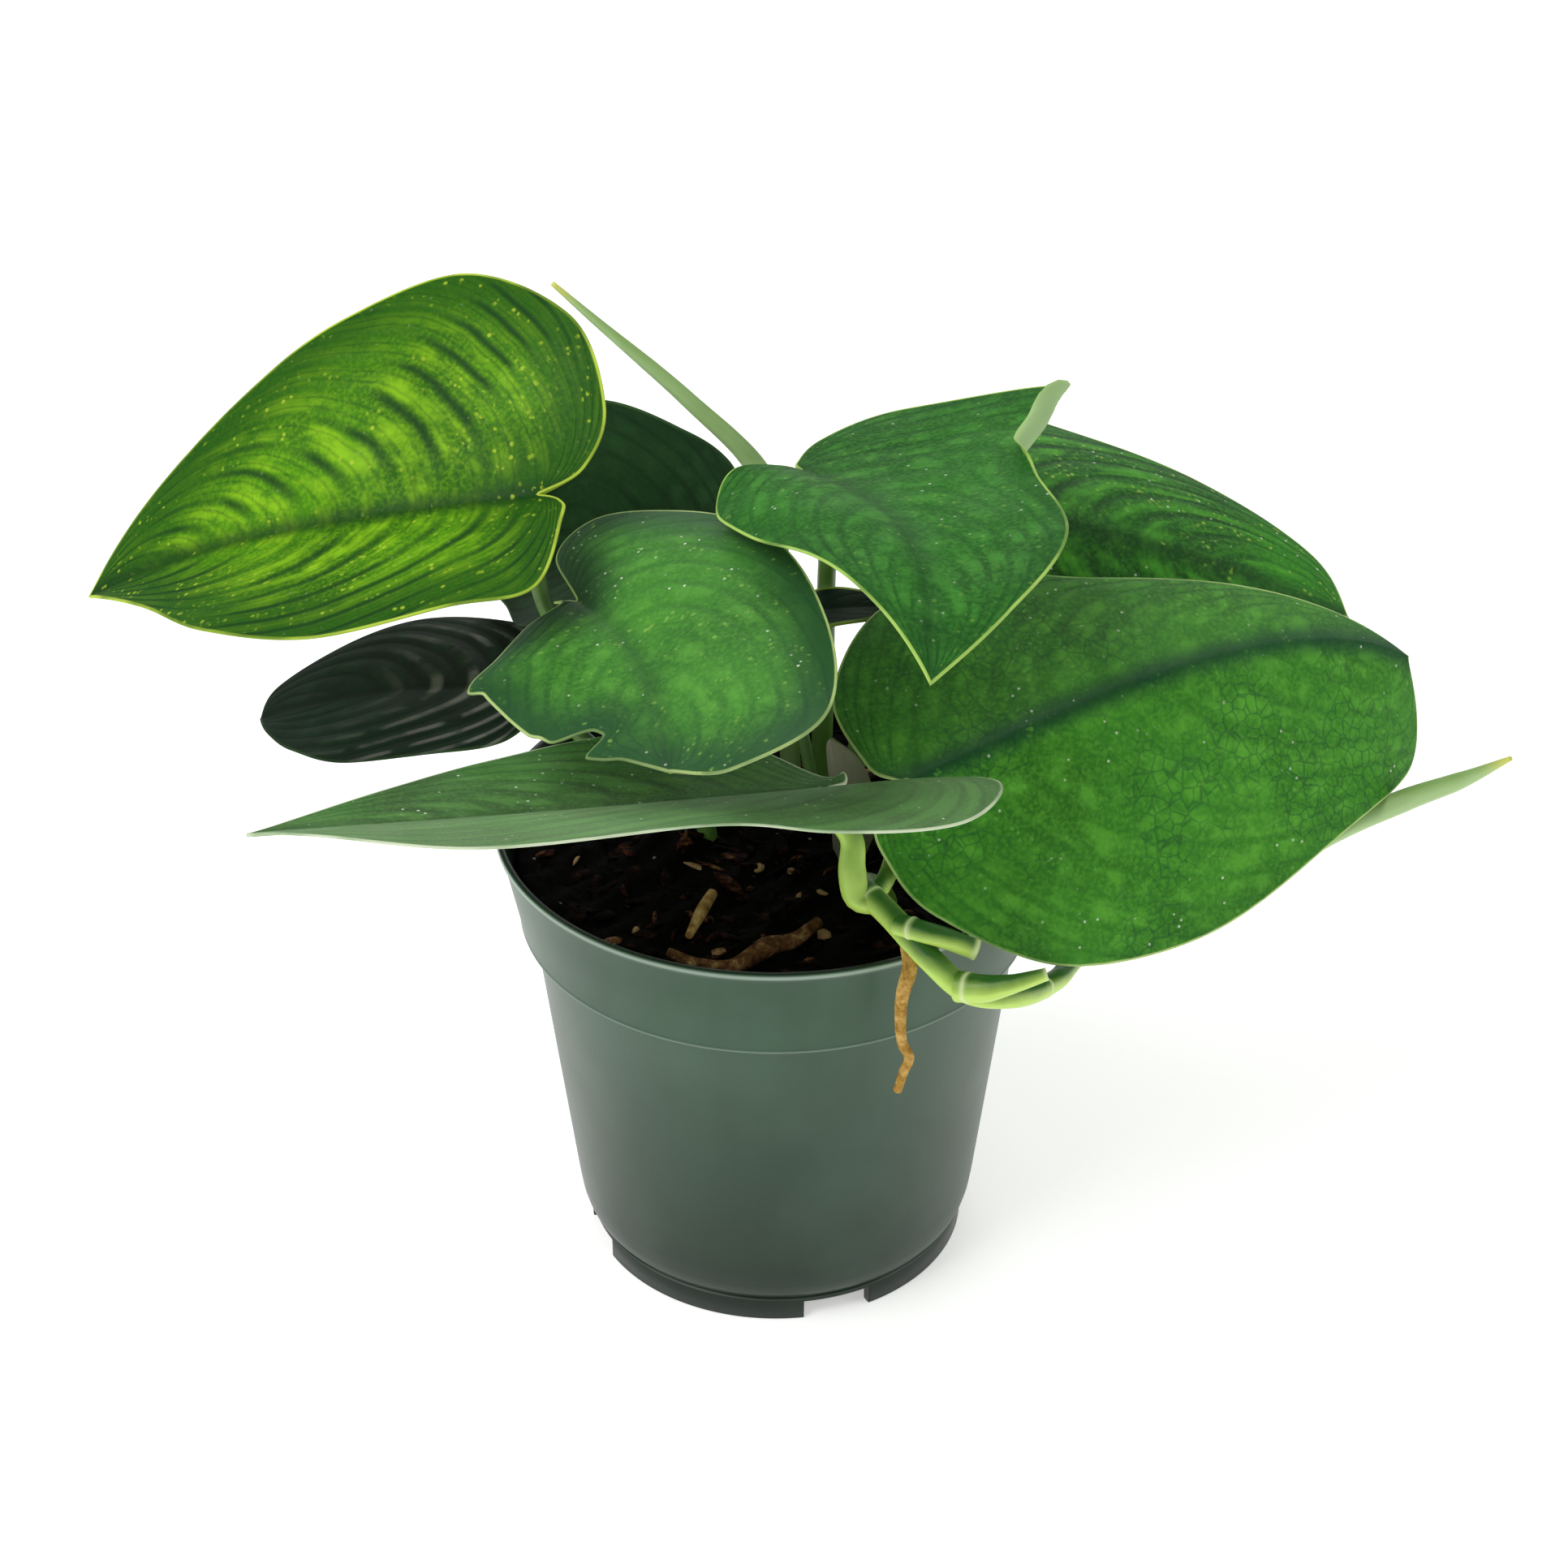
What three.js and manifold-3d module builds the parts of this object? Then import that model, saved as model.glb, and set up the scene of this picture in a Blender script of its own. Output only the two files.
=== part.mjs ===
// A jade satin pothos in a 4-inch nursery pot.
// Millimetres, +Z up. The origin is on the pot's axis at the surface it stands on.
// The front of the plant faces -Y, and its longest leaf points to +X.
import * as THREE from 'three';
import { mergeVertices } from 'three/addons/utils/BufferGeometryUtils.js';
import Module from 'manifold-3d';

const wasm = await Module();
wasm.setup();

// Driving dimensions
const GAP = 0.35; // between neighbouring pieces
const HOLE_CLEARANCE = 0.45; // round a stem that stands in the potting mix
const POT_WALL = 1.1;
const FOOT_RADIUS = 36.7;
const FOOT_WALL = 1.9;
const FOOT_HEIGHT = 4.8;
const FLOOR_UNDERSIDE = 2.4;
const FLOOR_TOP = 4.2;
const CENTRE_DISC_RADIUS = 8; // disc under the middle of the floor
const CENTRE_DISC_SPREAD = 0.6;
const FOOT_GAPS = 4;
const FOOT_GAP_WIDTH = 13.3;
const FOOT_GAP_DEPTH = 4.2; // inwards from the foot's outside
const FOOT_GAP_TOP = 4.35;
const FOOT_GAP_SHELF = 3.3; // width of the gap's shallow right end
const FOOT_GAP_SHELF_DEPTH = 2.2;
const FOOT_GAP_ANGLE = 18.9; // degrees from the front towards the right
const SOIL_LEVEL = 85;
const SOIL_ROUGHNESS = 0.9;
const SOIL_TOP_RADIUS = 48.6;
const SOIL_EDGE_DROP = 2;
const SOIL_RINGS = [46.5, 38, 28, 17, 6]; // radii of the rings that carry the lumps
const SIDES = 40; // of the pot and of the mix
const CHIP_COUNT = 34;
const CHIP_LENGTH = [4, 11];
const CHIP_WIDTH = [2, 4.5];
const CHIP_THICKNESS = [1.4, 2.6];
const CHIP_FIELD = [8, 41]; // distance from the pot's axis
const BLADE = 0.7; // leaf thickness

// The outside of the pot's wall: radius and height, upwards from the foot ring.
const BODY_PROFILE = [[36.2, 5.3], [38, 7.4], [39.1, 13], [46, 71]];
const COLLAR_PROFILE = [[48.2, 71.9], [49.3, 78], [50.8, 85.5], [51.7, 90.2]];
const LIP_PROFILE = [[52.4, 90.6], [52.5, 91.4], [52.2, 92], [51.2, 92]];

// Finishes
const finish = (color, roughness) =>
  new THREE.MeshStandardMaterial({ color, roughness, metalness: 0 });
const FINISH = {
  pot: finish('#4f6f5c', 0.45),
  soil: finish('#1d1410', 0.95),
  bark: finish('#5d3527', 0.9),
  root: finish('#a9855a', 0.8),
  brightLeaf: finish('#5f9a22', 0.4),
  jadeLeaf: finish('#3f7638', 0.45),
  darkLeaf: finish('#23402b', 0.5),
  stem: finish('#86b553', 0.5),
  darkStem: finish('#2f4a2c', 0.55),
  youngLeaf: finish('#9dbb7a', 0.5),
  drySheath: finish('#6f705c', 0.8),
};

// Leaves. Lengths are in mm, angles in degrees and bends in degrees per mm.
//   at       where the stalk joins the blade
//   heading  direction of the midrib, anticlockwise from +X seen from above
//   rise     how steeply the midrib climbs where it starts
//   roll     turn of the blade about its midrib, left side up
//   droop    downward bend of the midrib: constant, then growing towards the tip
//   swing    sideways bend of the midrib
//   fold     upward angle of each half at the midrib: left, right
//   cup      bend across each half, upward when positive: left, right
//   left and right give the reach of each half from the stalk, along RAYS
//   ripple   height, number and start of the waves along the margin
//   nicks    cuts into one half's margin, or teeth when the depth is negative
//   curl     part of one half's margin that rolls up beyond a share of its width
const RAYS = [10, 25, 45, 70, 100, 130, 155];
const LEAVES = {
  leaf_upper_left: {
    at: [-41.6, -0.4, 158.8], heading: 168.8, rise: -12.6, roll: -29.5,
    droop: [0.07, 0.16], swing: -0.13, fold: [18.4, 22.7], cup: [0, -0.49], length: 99.8,
    left: [78.4, 63.4, 48.4, 30.6, 26.9, 8.9, 4.8],
    right: [82.8, 67.2, 57, 49.2, 33.7, 19.8, 9.4],
    ripple: [0.5, 3, 0.2], finish: 'brightLeaf',
  },
  leaf_centre: {
    at: [-34.7, -11.4, 143.4], heading: -57.9, rise: 11.8, roll: 22.9,
    droop: [0.56, -0.27], swing: -0.49, fold: [14.3, 10.6], cup: [-1.03, -0.34], length: 60.6,
    left: [68.8, 66, 45.5, 33.5, 25, 22.6, 16.5],
    right: [53.7, 47, 35.2, 25.5, 11.5, 3.3, 5.3],
    ripple: [0.4, 3, 0.6], nicks: [
      { half: 'right', at: 0.793, width: 0.034, depth: 0.35 },
      { half: 'right', at: 0.497, width: 0.039, depth: -0.11 },
      { half: 'right', at: 0.733, width: 0.02, depth: 0.04 },
      { half: 'right', at: 0.854, width: 0.031, depth: -0.12 },
    ],
    finish: 'jadeLeaf',
  },
  leaf_top: {
    at: [4.7, 7.9, 159.2], heading: -56.2, rise: 12.5, roll: -8,
    droop: [-0.17, 0.63], swing: -0.46, fold: [5.9, 14.6], cup: [0.57, -2.47], length: 85.3,
    left: [71.7, 59.6, 41.7, 49.6, 29.9, 15.5, 5.5],
    right: [65.9, 48.2, 33, 24.3, 16.2, 10.7, 5.7],
    ripple: [0.5, 4, 0.1], curl: { half: 'left', at: 0.571, width: 0.053, beyond: 0.847, bend: 33 },
    finish: 'jadeLeaf',
  },
  leaf_back_right: {
    at: [27.6, 19.9, 145.5], heading: 6.2, rise: -8.2, roll: 14.6,
    droop: [0.23, 0.03], swing: 0, fold: [4.2, -32], cup: [-0.65, -0.9], length: 86.8,
    left: [80.9, 62.5, 45, 40.3, 29, 19, 9],
    right: [68, 52, 38, 27, 20, 14, 8],
    ripple: [0.5, 3, 0.4], finish: 'jadeLeaf',
  },
  leaf_large_right: {
    at: [23.3, -31.4, 118.9], heading: 23.1, rise: 13.4, roll: 34.6,
    droop: [-0.01, 0.45], swing: 0.1, fold: [-3.6, -22.1], cup: [-0.72, -0.37], length: 113.3,
    left: [77.8, 55.7, 48.2, 38.8, 22.2, 8.1, 2.3],
    right: [121.4, 94.4, 69.4, 46.4, 24.8, 14.2, 8.8],
    ripple: [0.4, 3, 0.0], finish: 'jadeLeaf',
  },
  leaf_front_long: {
    at: [9.6, -36, 120.1], heading: 199.9, rise: 6, roll: 20.3,
    droop: [0, 0.01], swing: -0.05, fold: [13.8, 10.1], cup: [-0.55, 0.15], length: 101.8,
    left: [95.1, 79.1, 47.5, 44.4, 43.1, 32.5, 15.5],
    right: [79.5, 59.9, 43.1, 25.3, 6.2, 7.6, 4],
    ripple: [0.4, 3, 0.5], finish: 'jadeLeaf',
  },
  leaf_lower_left: {
    at: [-48.7, 9.7, 112.7], heading: 169.6, rise: -3.2, roll: -7.1,
    droop: [0.35, 0.09], swing: -0.03, fold: [12.4, 9], cup: [-0.38, -0.87], length: 52,
    left: [47.6, 42.2, 36.3, 23.9, 19.2, 10.9, 6],
    right: [51, 42.8, 33.2, 24.8, 17.8, 11, 6],
    ripple: [0.6, 3, 0.3], finish: 'darkLeaf',
  },
  leaf_back_left: {
    at: [-11.5, 24.8, 139], heading: 139.9, rise: -23.4, roll: -27.6,
    droop: [0.11, -0.1], swing: 0.45, fold: [35.3, 34.8], cup: [-0.7, -0.06], length: 57.7,
    left: [52, 45.9, 43, 36.8, 30, 15.1, 8.2],
    right: [50.1, 41.5, 39.9, 19.5, 13.2, 10, 7.1],
    ripple: [0.5, 3, 0.7], finish: 'darkLeaf',
  },
  leaf_small_inner: {
    at: [2.5, 13.5, 126.8], heading: 3, rise: 6, roll: 0,
    droop: [0.3, 0.2], swing: 0, fold: [10, 10], cup: [-0.6, -0.6], length: 24,
    left: [19, 14, 9.5, 5.5, 4.5, 4, 3], right: [19, 15, 11, 8, 6, 4.5, 3.5],
    ripple: [0.2, 3, 0.2], finish: 'darkLeaf',
  },
  dried_sheath: {
    at: [12.5, -4.5, 80], heading: -110, rise: 84, roll: -20,
    droop: [0.1, 0.3], swing: 0, fold: [35, 30], cup: [2, 2], length: 36,
    left: [29, 16, 5.5, 3, 2.2, 1.6, 1.1], right: [28, 15, 5.5, 3, 2.2, 1.6, 1.1],
    ripple: [0.4, 4, 0.2], finish: 'drySheath',
  },
};
const SHEATH_HOLE_RADIUS = 5.6;
const SHEATH_HOLE_HEIGHT = 22;
const SHEATH_HOLE_RISE = 8.5; // of its middle above the sheath's foot

// Leaf stalks that stand in the soil: route from the root end, and thickness at both ends.
const STALKS = {
  stalk_upper_left: {
    leaf: 'leaf_upper_left', radius: [2.0, 1.4],
    route: [[-14, 10, 77], [-17, 6, 92], [-30, 1, 116], [-41.5, -1.5, 138]],
  },
  stalk_centre: {
    leaf: 'leaf_centre', radius: [1.9, 1.4],
    route: [[-12, 3, 77], [-14, 3, 92], [-22, -1, 118], [-30, -6, 136]],
  },
  stalk_top: {
    leaf: 'leaf_top', radius: [2.1, 1.5],
    route: [[8, 19, 77], [9, 21, 100], [9.4, 23.2, 124], [9.4, 21.5, 139]],
  },
  stalk_back_right: {
    leaf: 'leaf_back_right', radius: [2.0, 1.4],
    route: [[14, 8, 77], [15, 11, 95], [19, 20, 122], [23, 22, 138]],
  },
  stalk_lower_left: {
    leaf: 'leaf_lower_left', radius: [1.8, 1.3],
    route: [[-20, 5, 77], [-23, 5, 90], [-32, 5.5, 101], [-41, 8, 108]],
  },
  stalk_back_left: {
    leaf: 'leaf_back_left', radius: [1.9, 1.4],
    route: [[-3, 16, 77], [-3, 18, 95], [-5, 22, 120], [-8, 24, 138]],
  },
  stalk_small_inner: {
    leaf: 'leaf_small_inner', radius: [1.3, 1.0],
    route: [[6, 5, 77], [7, 7, 92], [4, 11, 108], [1.5, 13, 118.5]],
  },
};

// The trailing vine: out of the soil, over the rim and away under the large leaf. Two of its side
// shoots are cut off short.
const VINE_ROUTE = [
  [20, -17, 76], [20, -21, 86], [17, -32, 97], [15.8, -41, 102.2], [20.2, -47, 100.8],
  [26.3, -54.5, 97.6], [33, -58.2, 92.9], [41, -55, 89.3], [49.8, -41.3, 83], [55.6, -29.5, 80.6],
  [66, -21, 79.3], [80, -17.2, 80.6], [95, -6.3, 85.3],
];
const VINE_RADIUS = [2.3, 2.3, 2.2, 1.9, 1.6, 1.6];
const UPPER_STUB = [[21.2, -50, 101.2], [25.2, -53, 101.8], [29.4, -54, 101], [34.9, -54.6, 98.9]];
const UPPER_STUB_RADIUS = [2.0, 1.8];
const LOWER_STUB = [[31.5, -58.5, 94], [35.8, -60.5, 95], [40.4, -61.5, 96.6], [46.6, -61, 98.4]];
const LOWER_STUB_RADIUS = [2.8, 2.4, 1.6, 1.1];
const FRONT_STALK = {
  leaf: 'leaf_front_long', radius: [2.4, 2.5, 2.0, 1.9],
  route: [[17.8, -43.4, 101.5], [14.6, -43, 102], [13.5, -42, 107], [13.3, -40.2, 112.5]],
};
const RIGHT_STALK = {
  leaf: 'leaf_large_right', radius: [1.7, 1.4],
  route: [[17.6, -41.5, 101.5], [19.8, -38, 103.5], [22, -33, 109]],
};
const AERIAL_ROOT_ROUTE = [
  [23.4, -54.3, 95.2], [22.4, -55.2, 91], [22, -54.4, 86.8], [22.4, -53.4, 78.2],
  [23.7, -53.2, 74.8], [22.9, -53, 72], [21.8, -52.4, 67],
];
const AERIAL_ROOT_RADIUS = [1.35, 1.1, 0.95, 0.9, 0.8];

// A splinter of wood and a dead root, half sunk in the potting mix.
const STICK_ROUTE = [[-11.5, -19.6, 87], [-13, -24.7, 87.4], [-15.5, -32.9, 86.8]];
const STICK_RADIUS = [1.0, 1.2, 0.7];
const DEAD_ROOT_ROUTE = [
  [-19, -39.5, 88], [-14, -42, 87], [-8, -42.3, 86.6], [-4, -40, 87.4], [-1, -36.5, 87.2],
  [3, -34.5, 86.8], [8, -30, 88],
];
const DEAD_ROOT_RADIUS = [0.8, 1.3, 1.4, 1.9, 1.4, 1.0];

// Leaves still rolled up: axis points and how thick the roll is along them.
const FURLED = {
  furled_leaf_tall: {
    route: [
      [3, 21, 77], [2.5, 21, 100], [0.2, 22.5, 131], [-2.6, 14, 155.6], [-15.5, 14, 170.5],
      [-31.5, 17.5, 184], [-39.3, 19.5, 190.5],
    ],
    radius: [1.9, 2.0, 2.4, 2.7, 1.75, 1.25, 0.45],
  },
  furled_leaf_vine_end: {
    route: [
      [95.8, -5.8, 85.6], [106, 1.8, 87.4], [118, 2, 93.6], [127, -3, 101.2], [134.3, -7, 108.3],
    ],
    radius: [1.9, 2.3, 2.2, 1.7, 0.45],
  },
};

// A closed skin over rings of equal size, fanned to the middle of the first and last ring.
function skin(rings) {
  const around = rings[0].length;
  const points = rings.flat();
  const faces = [];
  for (let r = 0; r + 1 < rings.length; r++) {
    for (let k = 0; k < around; k++) {
      const a = r * around + k;
      const b = r * around + ((k + 1) % around);
      faces.push([a, b, b + around], [a, b + around, a + around]);
    }
  }
  const middle = (ring) => ring.reduce((sum, p) => sum.add(p), new THREE.Vector3())
    .divideScalar(around);
  points.push(middle(rings[0]), middle(rings.at(-1)));
  const last = (rings.length - 1) * around;
  for (let k = 0; k < around; k++) {
    const next = (k + 1) % around;
    faces.push([points.length - 2, next, k]);
    faces.push([points.length - 1, last + k, last + next]);
  }
  return geometryOf(points, faces);
}

function geometryOf(points, faces) {
  const geometry = new THREE.BufferGeometry();
  const flat = points.flatMap((p) => [p.x, p.y, p.z]);
  geometry.setAttribute('position', new THREE.Float32BufferAttribute(flat, 3));
  geometry.setIndex(faces.flat());
  geometry.computeVertexNormals();
  return geometry;
}

// A round stem along a smooth route, its radius eased from one listed value to the next.
function stemGeometry(route, radii, sides = 8, perSpan = 3) {
  const curve = new THREE.CatmullRomCurve3(route.map((p) => new THREE.Vector3(...p)));
  const steps = (route.length - 1) * perSpan;
  const frames = curve.computeFrenetFrames(steps, false);
  const rings = [];
  for (let i = 0; i <= steps; i++) {
    const centre = curve.getPointAt(i / steps);
    const place = (i / steps) * (radii.length - 1);
    const from = Math.min(Math.floor(place), radii.length - 2);
    const radius = THREE.MathUtils.lerp(radii[from], radii[from + 1], place - from);
    const ring = [];
    for (let k = 0; k < sides; k++) {
      const turn = (2 * Math.PI * k) / sides;
      ring.push(centre.clone()
        .addScaledVector(frames.normals[i], radius * Math.cos(turn))
        .addScaledVector(frames.binormals[i], radius * Math.sin(turn)));
    }
    rings.push(ring);
  }
  return skin(rings);
}

// Solids for joining and cutting
function solidOf(geometry) {
  const bare = geometry.clone();
  bare.deleteAttribute('normal');
  bare.deleteAttribute('uv');
  const merged = mergeVertices(bare, 1e-4);
  return new wasm.Manifold(new wasm.Mesh({
    numProp: 3,
    vertProperties: new Float32Array(merged.attributes.position.array),
    triVerts: new Uint32Array(merged.index.array),
  }));
}

function geometryOfSolid(solid) {
  const mesh = solid.getMesh();
  const geometry = new THREE.BufferGeometry();
  geometry.setAttribute('position', new THREE.BufferAttribute(mesh.vertProperties, 3));
  geometry.setIndex(new THREE.BufferAttribute(mesh.triVerts, 1));
  geometry.computeVertexNormals();
  return geometry;
}

const largestBody = (solid) => solid.decompose().sort((a, b) => b.volume() - a.volume())[0];

const group = new THREE.Group();

function add(name, geometry, material) {
  const mesh = new THREE.Mesh(geometry, material);
  mesh.name = name;
  group.add(mesh);
}

// Pot: one moulded shell, turned about Z, with gaps cut in its foot ring for water.
const inwards = (profile, by) => profile.map(([radius, height]) => [radius - by, height]);

function potShell() {
  const underside = [
    [0, 0],
    [CENTRE_DISC_RADIUS, 0],
    [CENTRE_DISC_RADIUS + CENTRE_DISC_SPREAD, FLOOR_UNDERSIDE],
    [FOOT_RADIUS - FOOT_WALL, FLOOR_UNDERSIDE],
    [FOOT_RADIUS - FOOT_WALL, 0],
    [FOOT_RADIUS, 0],
    [FOOT_RADIUS, FOOT_HEIGHT],
  ];
  const wall = [...BODY_PROFILE, ...COLLAR_PROFILE];
  const inside = inwards(wall, POT_WALL).reverse().slice(0, -1);
  const floor = [[FOOT_RADIUS - FOOT_WALL / 2, FLOOR_TOP], [0, FLOOR_TOP]];
  const profile = [...underside, ...wall, ...LIP_PROFILE, ...inside, ...floor];
  const shell = new THREE.LatheGeometry(profile.map(([r, z]) => new THREE.Vector2(r, z)), SIDES);
  shell.rotateX(Math.PI / 2);
  return shell;
}

// A gap in the foot ring: deep for most of its width, with a shallow right end.
function footGap(index) {
  const reach = (width, depth) => {
    const cut = new THREE.BoxGeometry(width, 2 * depth, 2 * FOOT_GAP_TOP);
    return cut.translate(width / 2 - FOOT_GAP_WIDTH / 2, -FOOT_RADIUS, 0);
  };
  const turn = FOOT_GAP_ANGLE + (index * 360) / FOOT_GAPS;
  const deep = reach(FOOT_GAP_WIDTH - FOOT_GAP_SHELF, FOOT_GAP_DEPTH);
  return solidOf(deep).add(solidOf(reach(FOOT_GAP_WIDTH, FOOT_GAP_SHELF_DEPTH))).rotate([0, 0, turn]);
}

let pot = solidOf(potShell());
for (let i = 0; i < FOOT_GAPS; i++) pot = pot.subtract(footGap(i));
add('pot', geometryOfSolid(pot), FINISH.pot);

// Repeatable scatter for the potting mix
let seed = 4;
function random() {
  seed = (seed * 1664525 + 1013904223) % 4294967296;
  return seed / 4294967296;
}
const between = (low, high) => low + (high - low) * random();

function soilHeight(x, y) {
  const lumps = Math.sin(x * 0.31 + 1) * Math.cos(y * 0.27) + 0.6 * Math.sin(x * 0.7 - y * 0.55);
  return SOIL_LEVEL + SOIL_ROUGHNESS * lumps;
}

// Potting mix: fills the pot, with a lumpy top.
function soilBody() {
  const clear = POT_WALL + GAP + 0.1;
  const walls = [
    [FOOT_RADIUS - FOOT_WALL, FLOOR_TOP],
    ...inwards([...BODY_PROFILE, ...COLLAR_PROFILE].slice(1, -2), clear),
    [SOIL_TOP_RADIUS, SOIL_LEVEL - SOIL_EDGE_DROP],
  ];
  const ringAt = (radius, height) => Array.from({ length: SIDES }, (_, k) => {
    const turn = (2 * Math.PI * k) / SIDES;
    const x = radius * Math.cos(turn);
    const y = radius * Math.sin(turn);
    return new THREE.Vector3(x, y, height ?? soilHeight(x, y));
  });
  const rings = walls.map(([radius, height]) => ringAt(radius, height + GAP));
  for (const radius of SOIL_RINGS) rings.push(ringAt(radius));
  return skin(rings);
}

// A splinter of bark, half sunk in the mix.
const CHIP_TAPER = 0.7;
const CHIP_TURN = 0.3; // radians off the level, and
const CHIP_LEAN = 0.5; // of roll about its length

function barkChip(length, width, thickness) {
  const chip = new THREE.CylinderGeometry((CHIP_TAPER * width) / 2, width / 2, length, 4, 1);
  chip.scale(1, 1, thickness / width);
  const polar = between(...CHIP_FIELD);
  const turn = between(0, 2 * Math.PI);
  const x = polar * Math.cos(turn);
  const y = polar * Math.sin(turn);
  chip.rotateZ(Math.PI / 2 + between(-CHIP_TURN, CHIP_TURN));
  chip.rotateX(between(-CHIP_LEAN, CHIP_LEAN));
  chip.rotateZ(between(0, Math.PI));
  chip.translate(x, y, soilHeight(x, y) + thickness * 0.1);
  return chip;
}

// A leaf's midrib: its direction and place at a distance along it from the stalk.
const radians = THREE.MathUtils.degToRad;
const RIB_STEPS = 24;

function ribAngles(leaf, along) {
  const [steady, growing] = leaf.droop;
  return {
    azimuth: radians(leaf.heading + leaf.swing * along),
    pitch: radians(leaf.rise - steady * along - (growing * along * Math.abs(along)) / leaf.length),
  };
}

function ribDirection(leaf, along) {
  const { azimuth, pitch } = ribAngles(leaf, along);
  return new THREE.Vector3(
    Math.cos(pitch) * Math.cos(azimuth), Math.cos(pitch) * Math.sin(azimuth), Math.sin(pitch),
  );
}

function ribPoint(leaf, along) {
  const point = new THREE.Vector3(...leaf.at);
  for (let i = 0; i < RIB_STEPS; i++) {
    const middle = (along * (i + 0.5)) / RIB_STEPS;
    point.addScaledVector(ribDirection(leaf, middle), along / RIB_STEPS);
  }
  return point;
}

// The blade's sideways and upward directions there, turned by the roll.
function bladeFrame(leaf, along) {
  const { azimuth } = ribAngles(leaf, along);
  const level = new THREE.Vector3(-Math.sin(azimuth), Math.cos(azimuth), 0);
  const up = new THREE.Vector3().crossVectors(ribDirection(leaf, along), level);
  const roll = radians(leaf.roll);
  return {
    side: level.clone().multiplyScalar(Math.cos(roll)).addScaledVector(up, Math.sin(roll)),
    normal: up.clone().multiplyScalar(Math.cos(roll)).addScaledVector(level, -Math.sin(roll)),
  };
}

// Distance outwards and upwards at the end of an arc that starts at a slope.
function arc(slope, bend, length) {
  const k = Math.abs(bend) < 1e-6 ? 1e-6 : bend;
  return {
    out: (Math.sin(slope + k * length) - Math.sin(slope)) / k,
    up: (Math.cos(slope) - Math.cos(slope + k * length)) / k,
    slope: slope + k * length,
  };
}

// The flat outline of one half, from the stalk round the lobe to the tip.
function marginOf(leaf, half) {
  const points = [new THREE.Vector2(0, 0)];
  for (let i = RAYS.length - 1; i >= 0; i--) {
    const turn = radians(RAYS[i]);
    points.push(new THREE.Vector2(Math.cos(turn), Math.sin(turn)).multiplyScalar(leaf[half][i]));
  }
  points.push(new THREE.Vector2(leaf.length, 0));
  return new THREE.SplineCurve(points);
}

// 1 at the centre, with steep sides
const bump = (value, centre, width) => Math.exp(-(((value - centre) / width) ** 4));
const LOBE_SHARE = 0.3; // share of the outline that fans out from the stalk
const RIB_SPACING = 1.2; // past it, rows leave the midrib closer at the stalk when above 1
const FLAT_BY_RIB = 2; // mm from the midrib within which the two halves share a normal

// A point of the blade's middle surface and its normal.
// place runs along the margin from 0 at the stalk to 1 at the tip, and out from the midrib, 0, to
// the margin, 1.
function bladePoint(leaf, half, margin, place, out) {
  const start = leaf.length * Math.max(0, (place - LOBE_SHARE) / (1 - LOBE_SHARE)) ** RIB_SPACING;
  const edge = margin.getPoint(place);
  let reach = out;
  for (const nick of leaf.nicks ?? []) {
    if (nick.half === half) reach *= 1 - nick.depth * bump(place, nick.at, nick.width);
  }
  const along = start + (edge.x - start) * reach;
  const across = edge.y * reach;
  const index = half === 'left' ? 0 : 1;
  const bend = radians(leaf.cup[index]);
  const flatPart = leaf.curl?.half === half ? edge.y * leaf.curl.beyond : Infinity;
  const first = arc(radians(leaf.fold[index]), bend, Math.min(across, flatPart));
  let { out: outwards, up: upwards, slope } = first;
  if (across > flatPart) {
    const tighter = radians(leaf.curl.bend) * bump(place, leaf.curl.at, leaf.curl.width);
    const second = arc(slope, bend + tighter, across - flatPart);
    outwards += second.out;
    upwards += second.up;
    slope = second.slope;
  }
  const [height, waves, phase] = leaf.ripple;
  const wave = Math.sin(2 * Math.PI * (waves * place + phase)) * Math.sin(Math.PI * place);
  upwards += height * wave * out ** 2;
  const { side, normal } = bladeFrame(leaf, along);
  if (half === 'right') side.negate();
  const lean = slope * Math.min(1, across / FLAT_BY_RIB);
  return {
    point: ribPoint(leaf, along).addScaledVector(side, outwards).addScaledVector(normal, upwards),
    normal: normal.clone().multiplyScalar(Math.cos(lean)).addScaledVector(side, -Math.sin(lean)),
  };
}

// Where the outline is sampled: evenly, and closer round a notch or a curled margin.
const LONG_LEAF = 40;
const ROWS = { long: 20, short: 10 };
const DETAIL_STEPS = [-1.2, -0.5, 0.5, 1.2]; // widths from the middle of a notch or curl
const FLAT_OUTS = [0, 0.25, 0.5, 0.75, 1];
const CURLED_OUTS = [0, 0.3, 0.6, 0.78, 0.84, 0.9, 0.95, 1];

function stations(leaf) {
  const rows = leaf.length > LONG_LEAF ? ROWS.long : ROWS.short;
  const places = Array.from({ length: rows + 1 }, (_, i) => i / rows);
  for (const detail of [...(leaf.nicks ?? []), ...(leaf.curl ? [leaf.curl] : [])]) {
    for (const step of DETAIL_STEPS) places.push(detail.at + step * detail.width);
  }
  return places.sort((a, b) => a - b);
}

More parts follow.
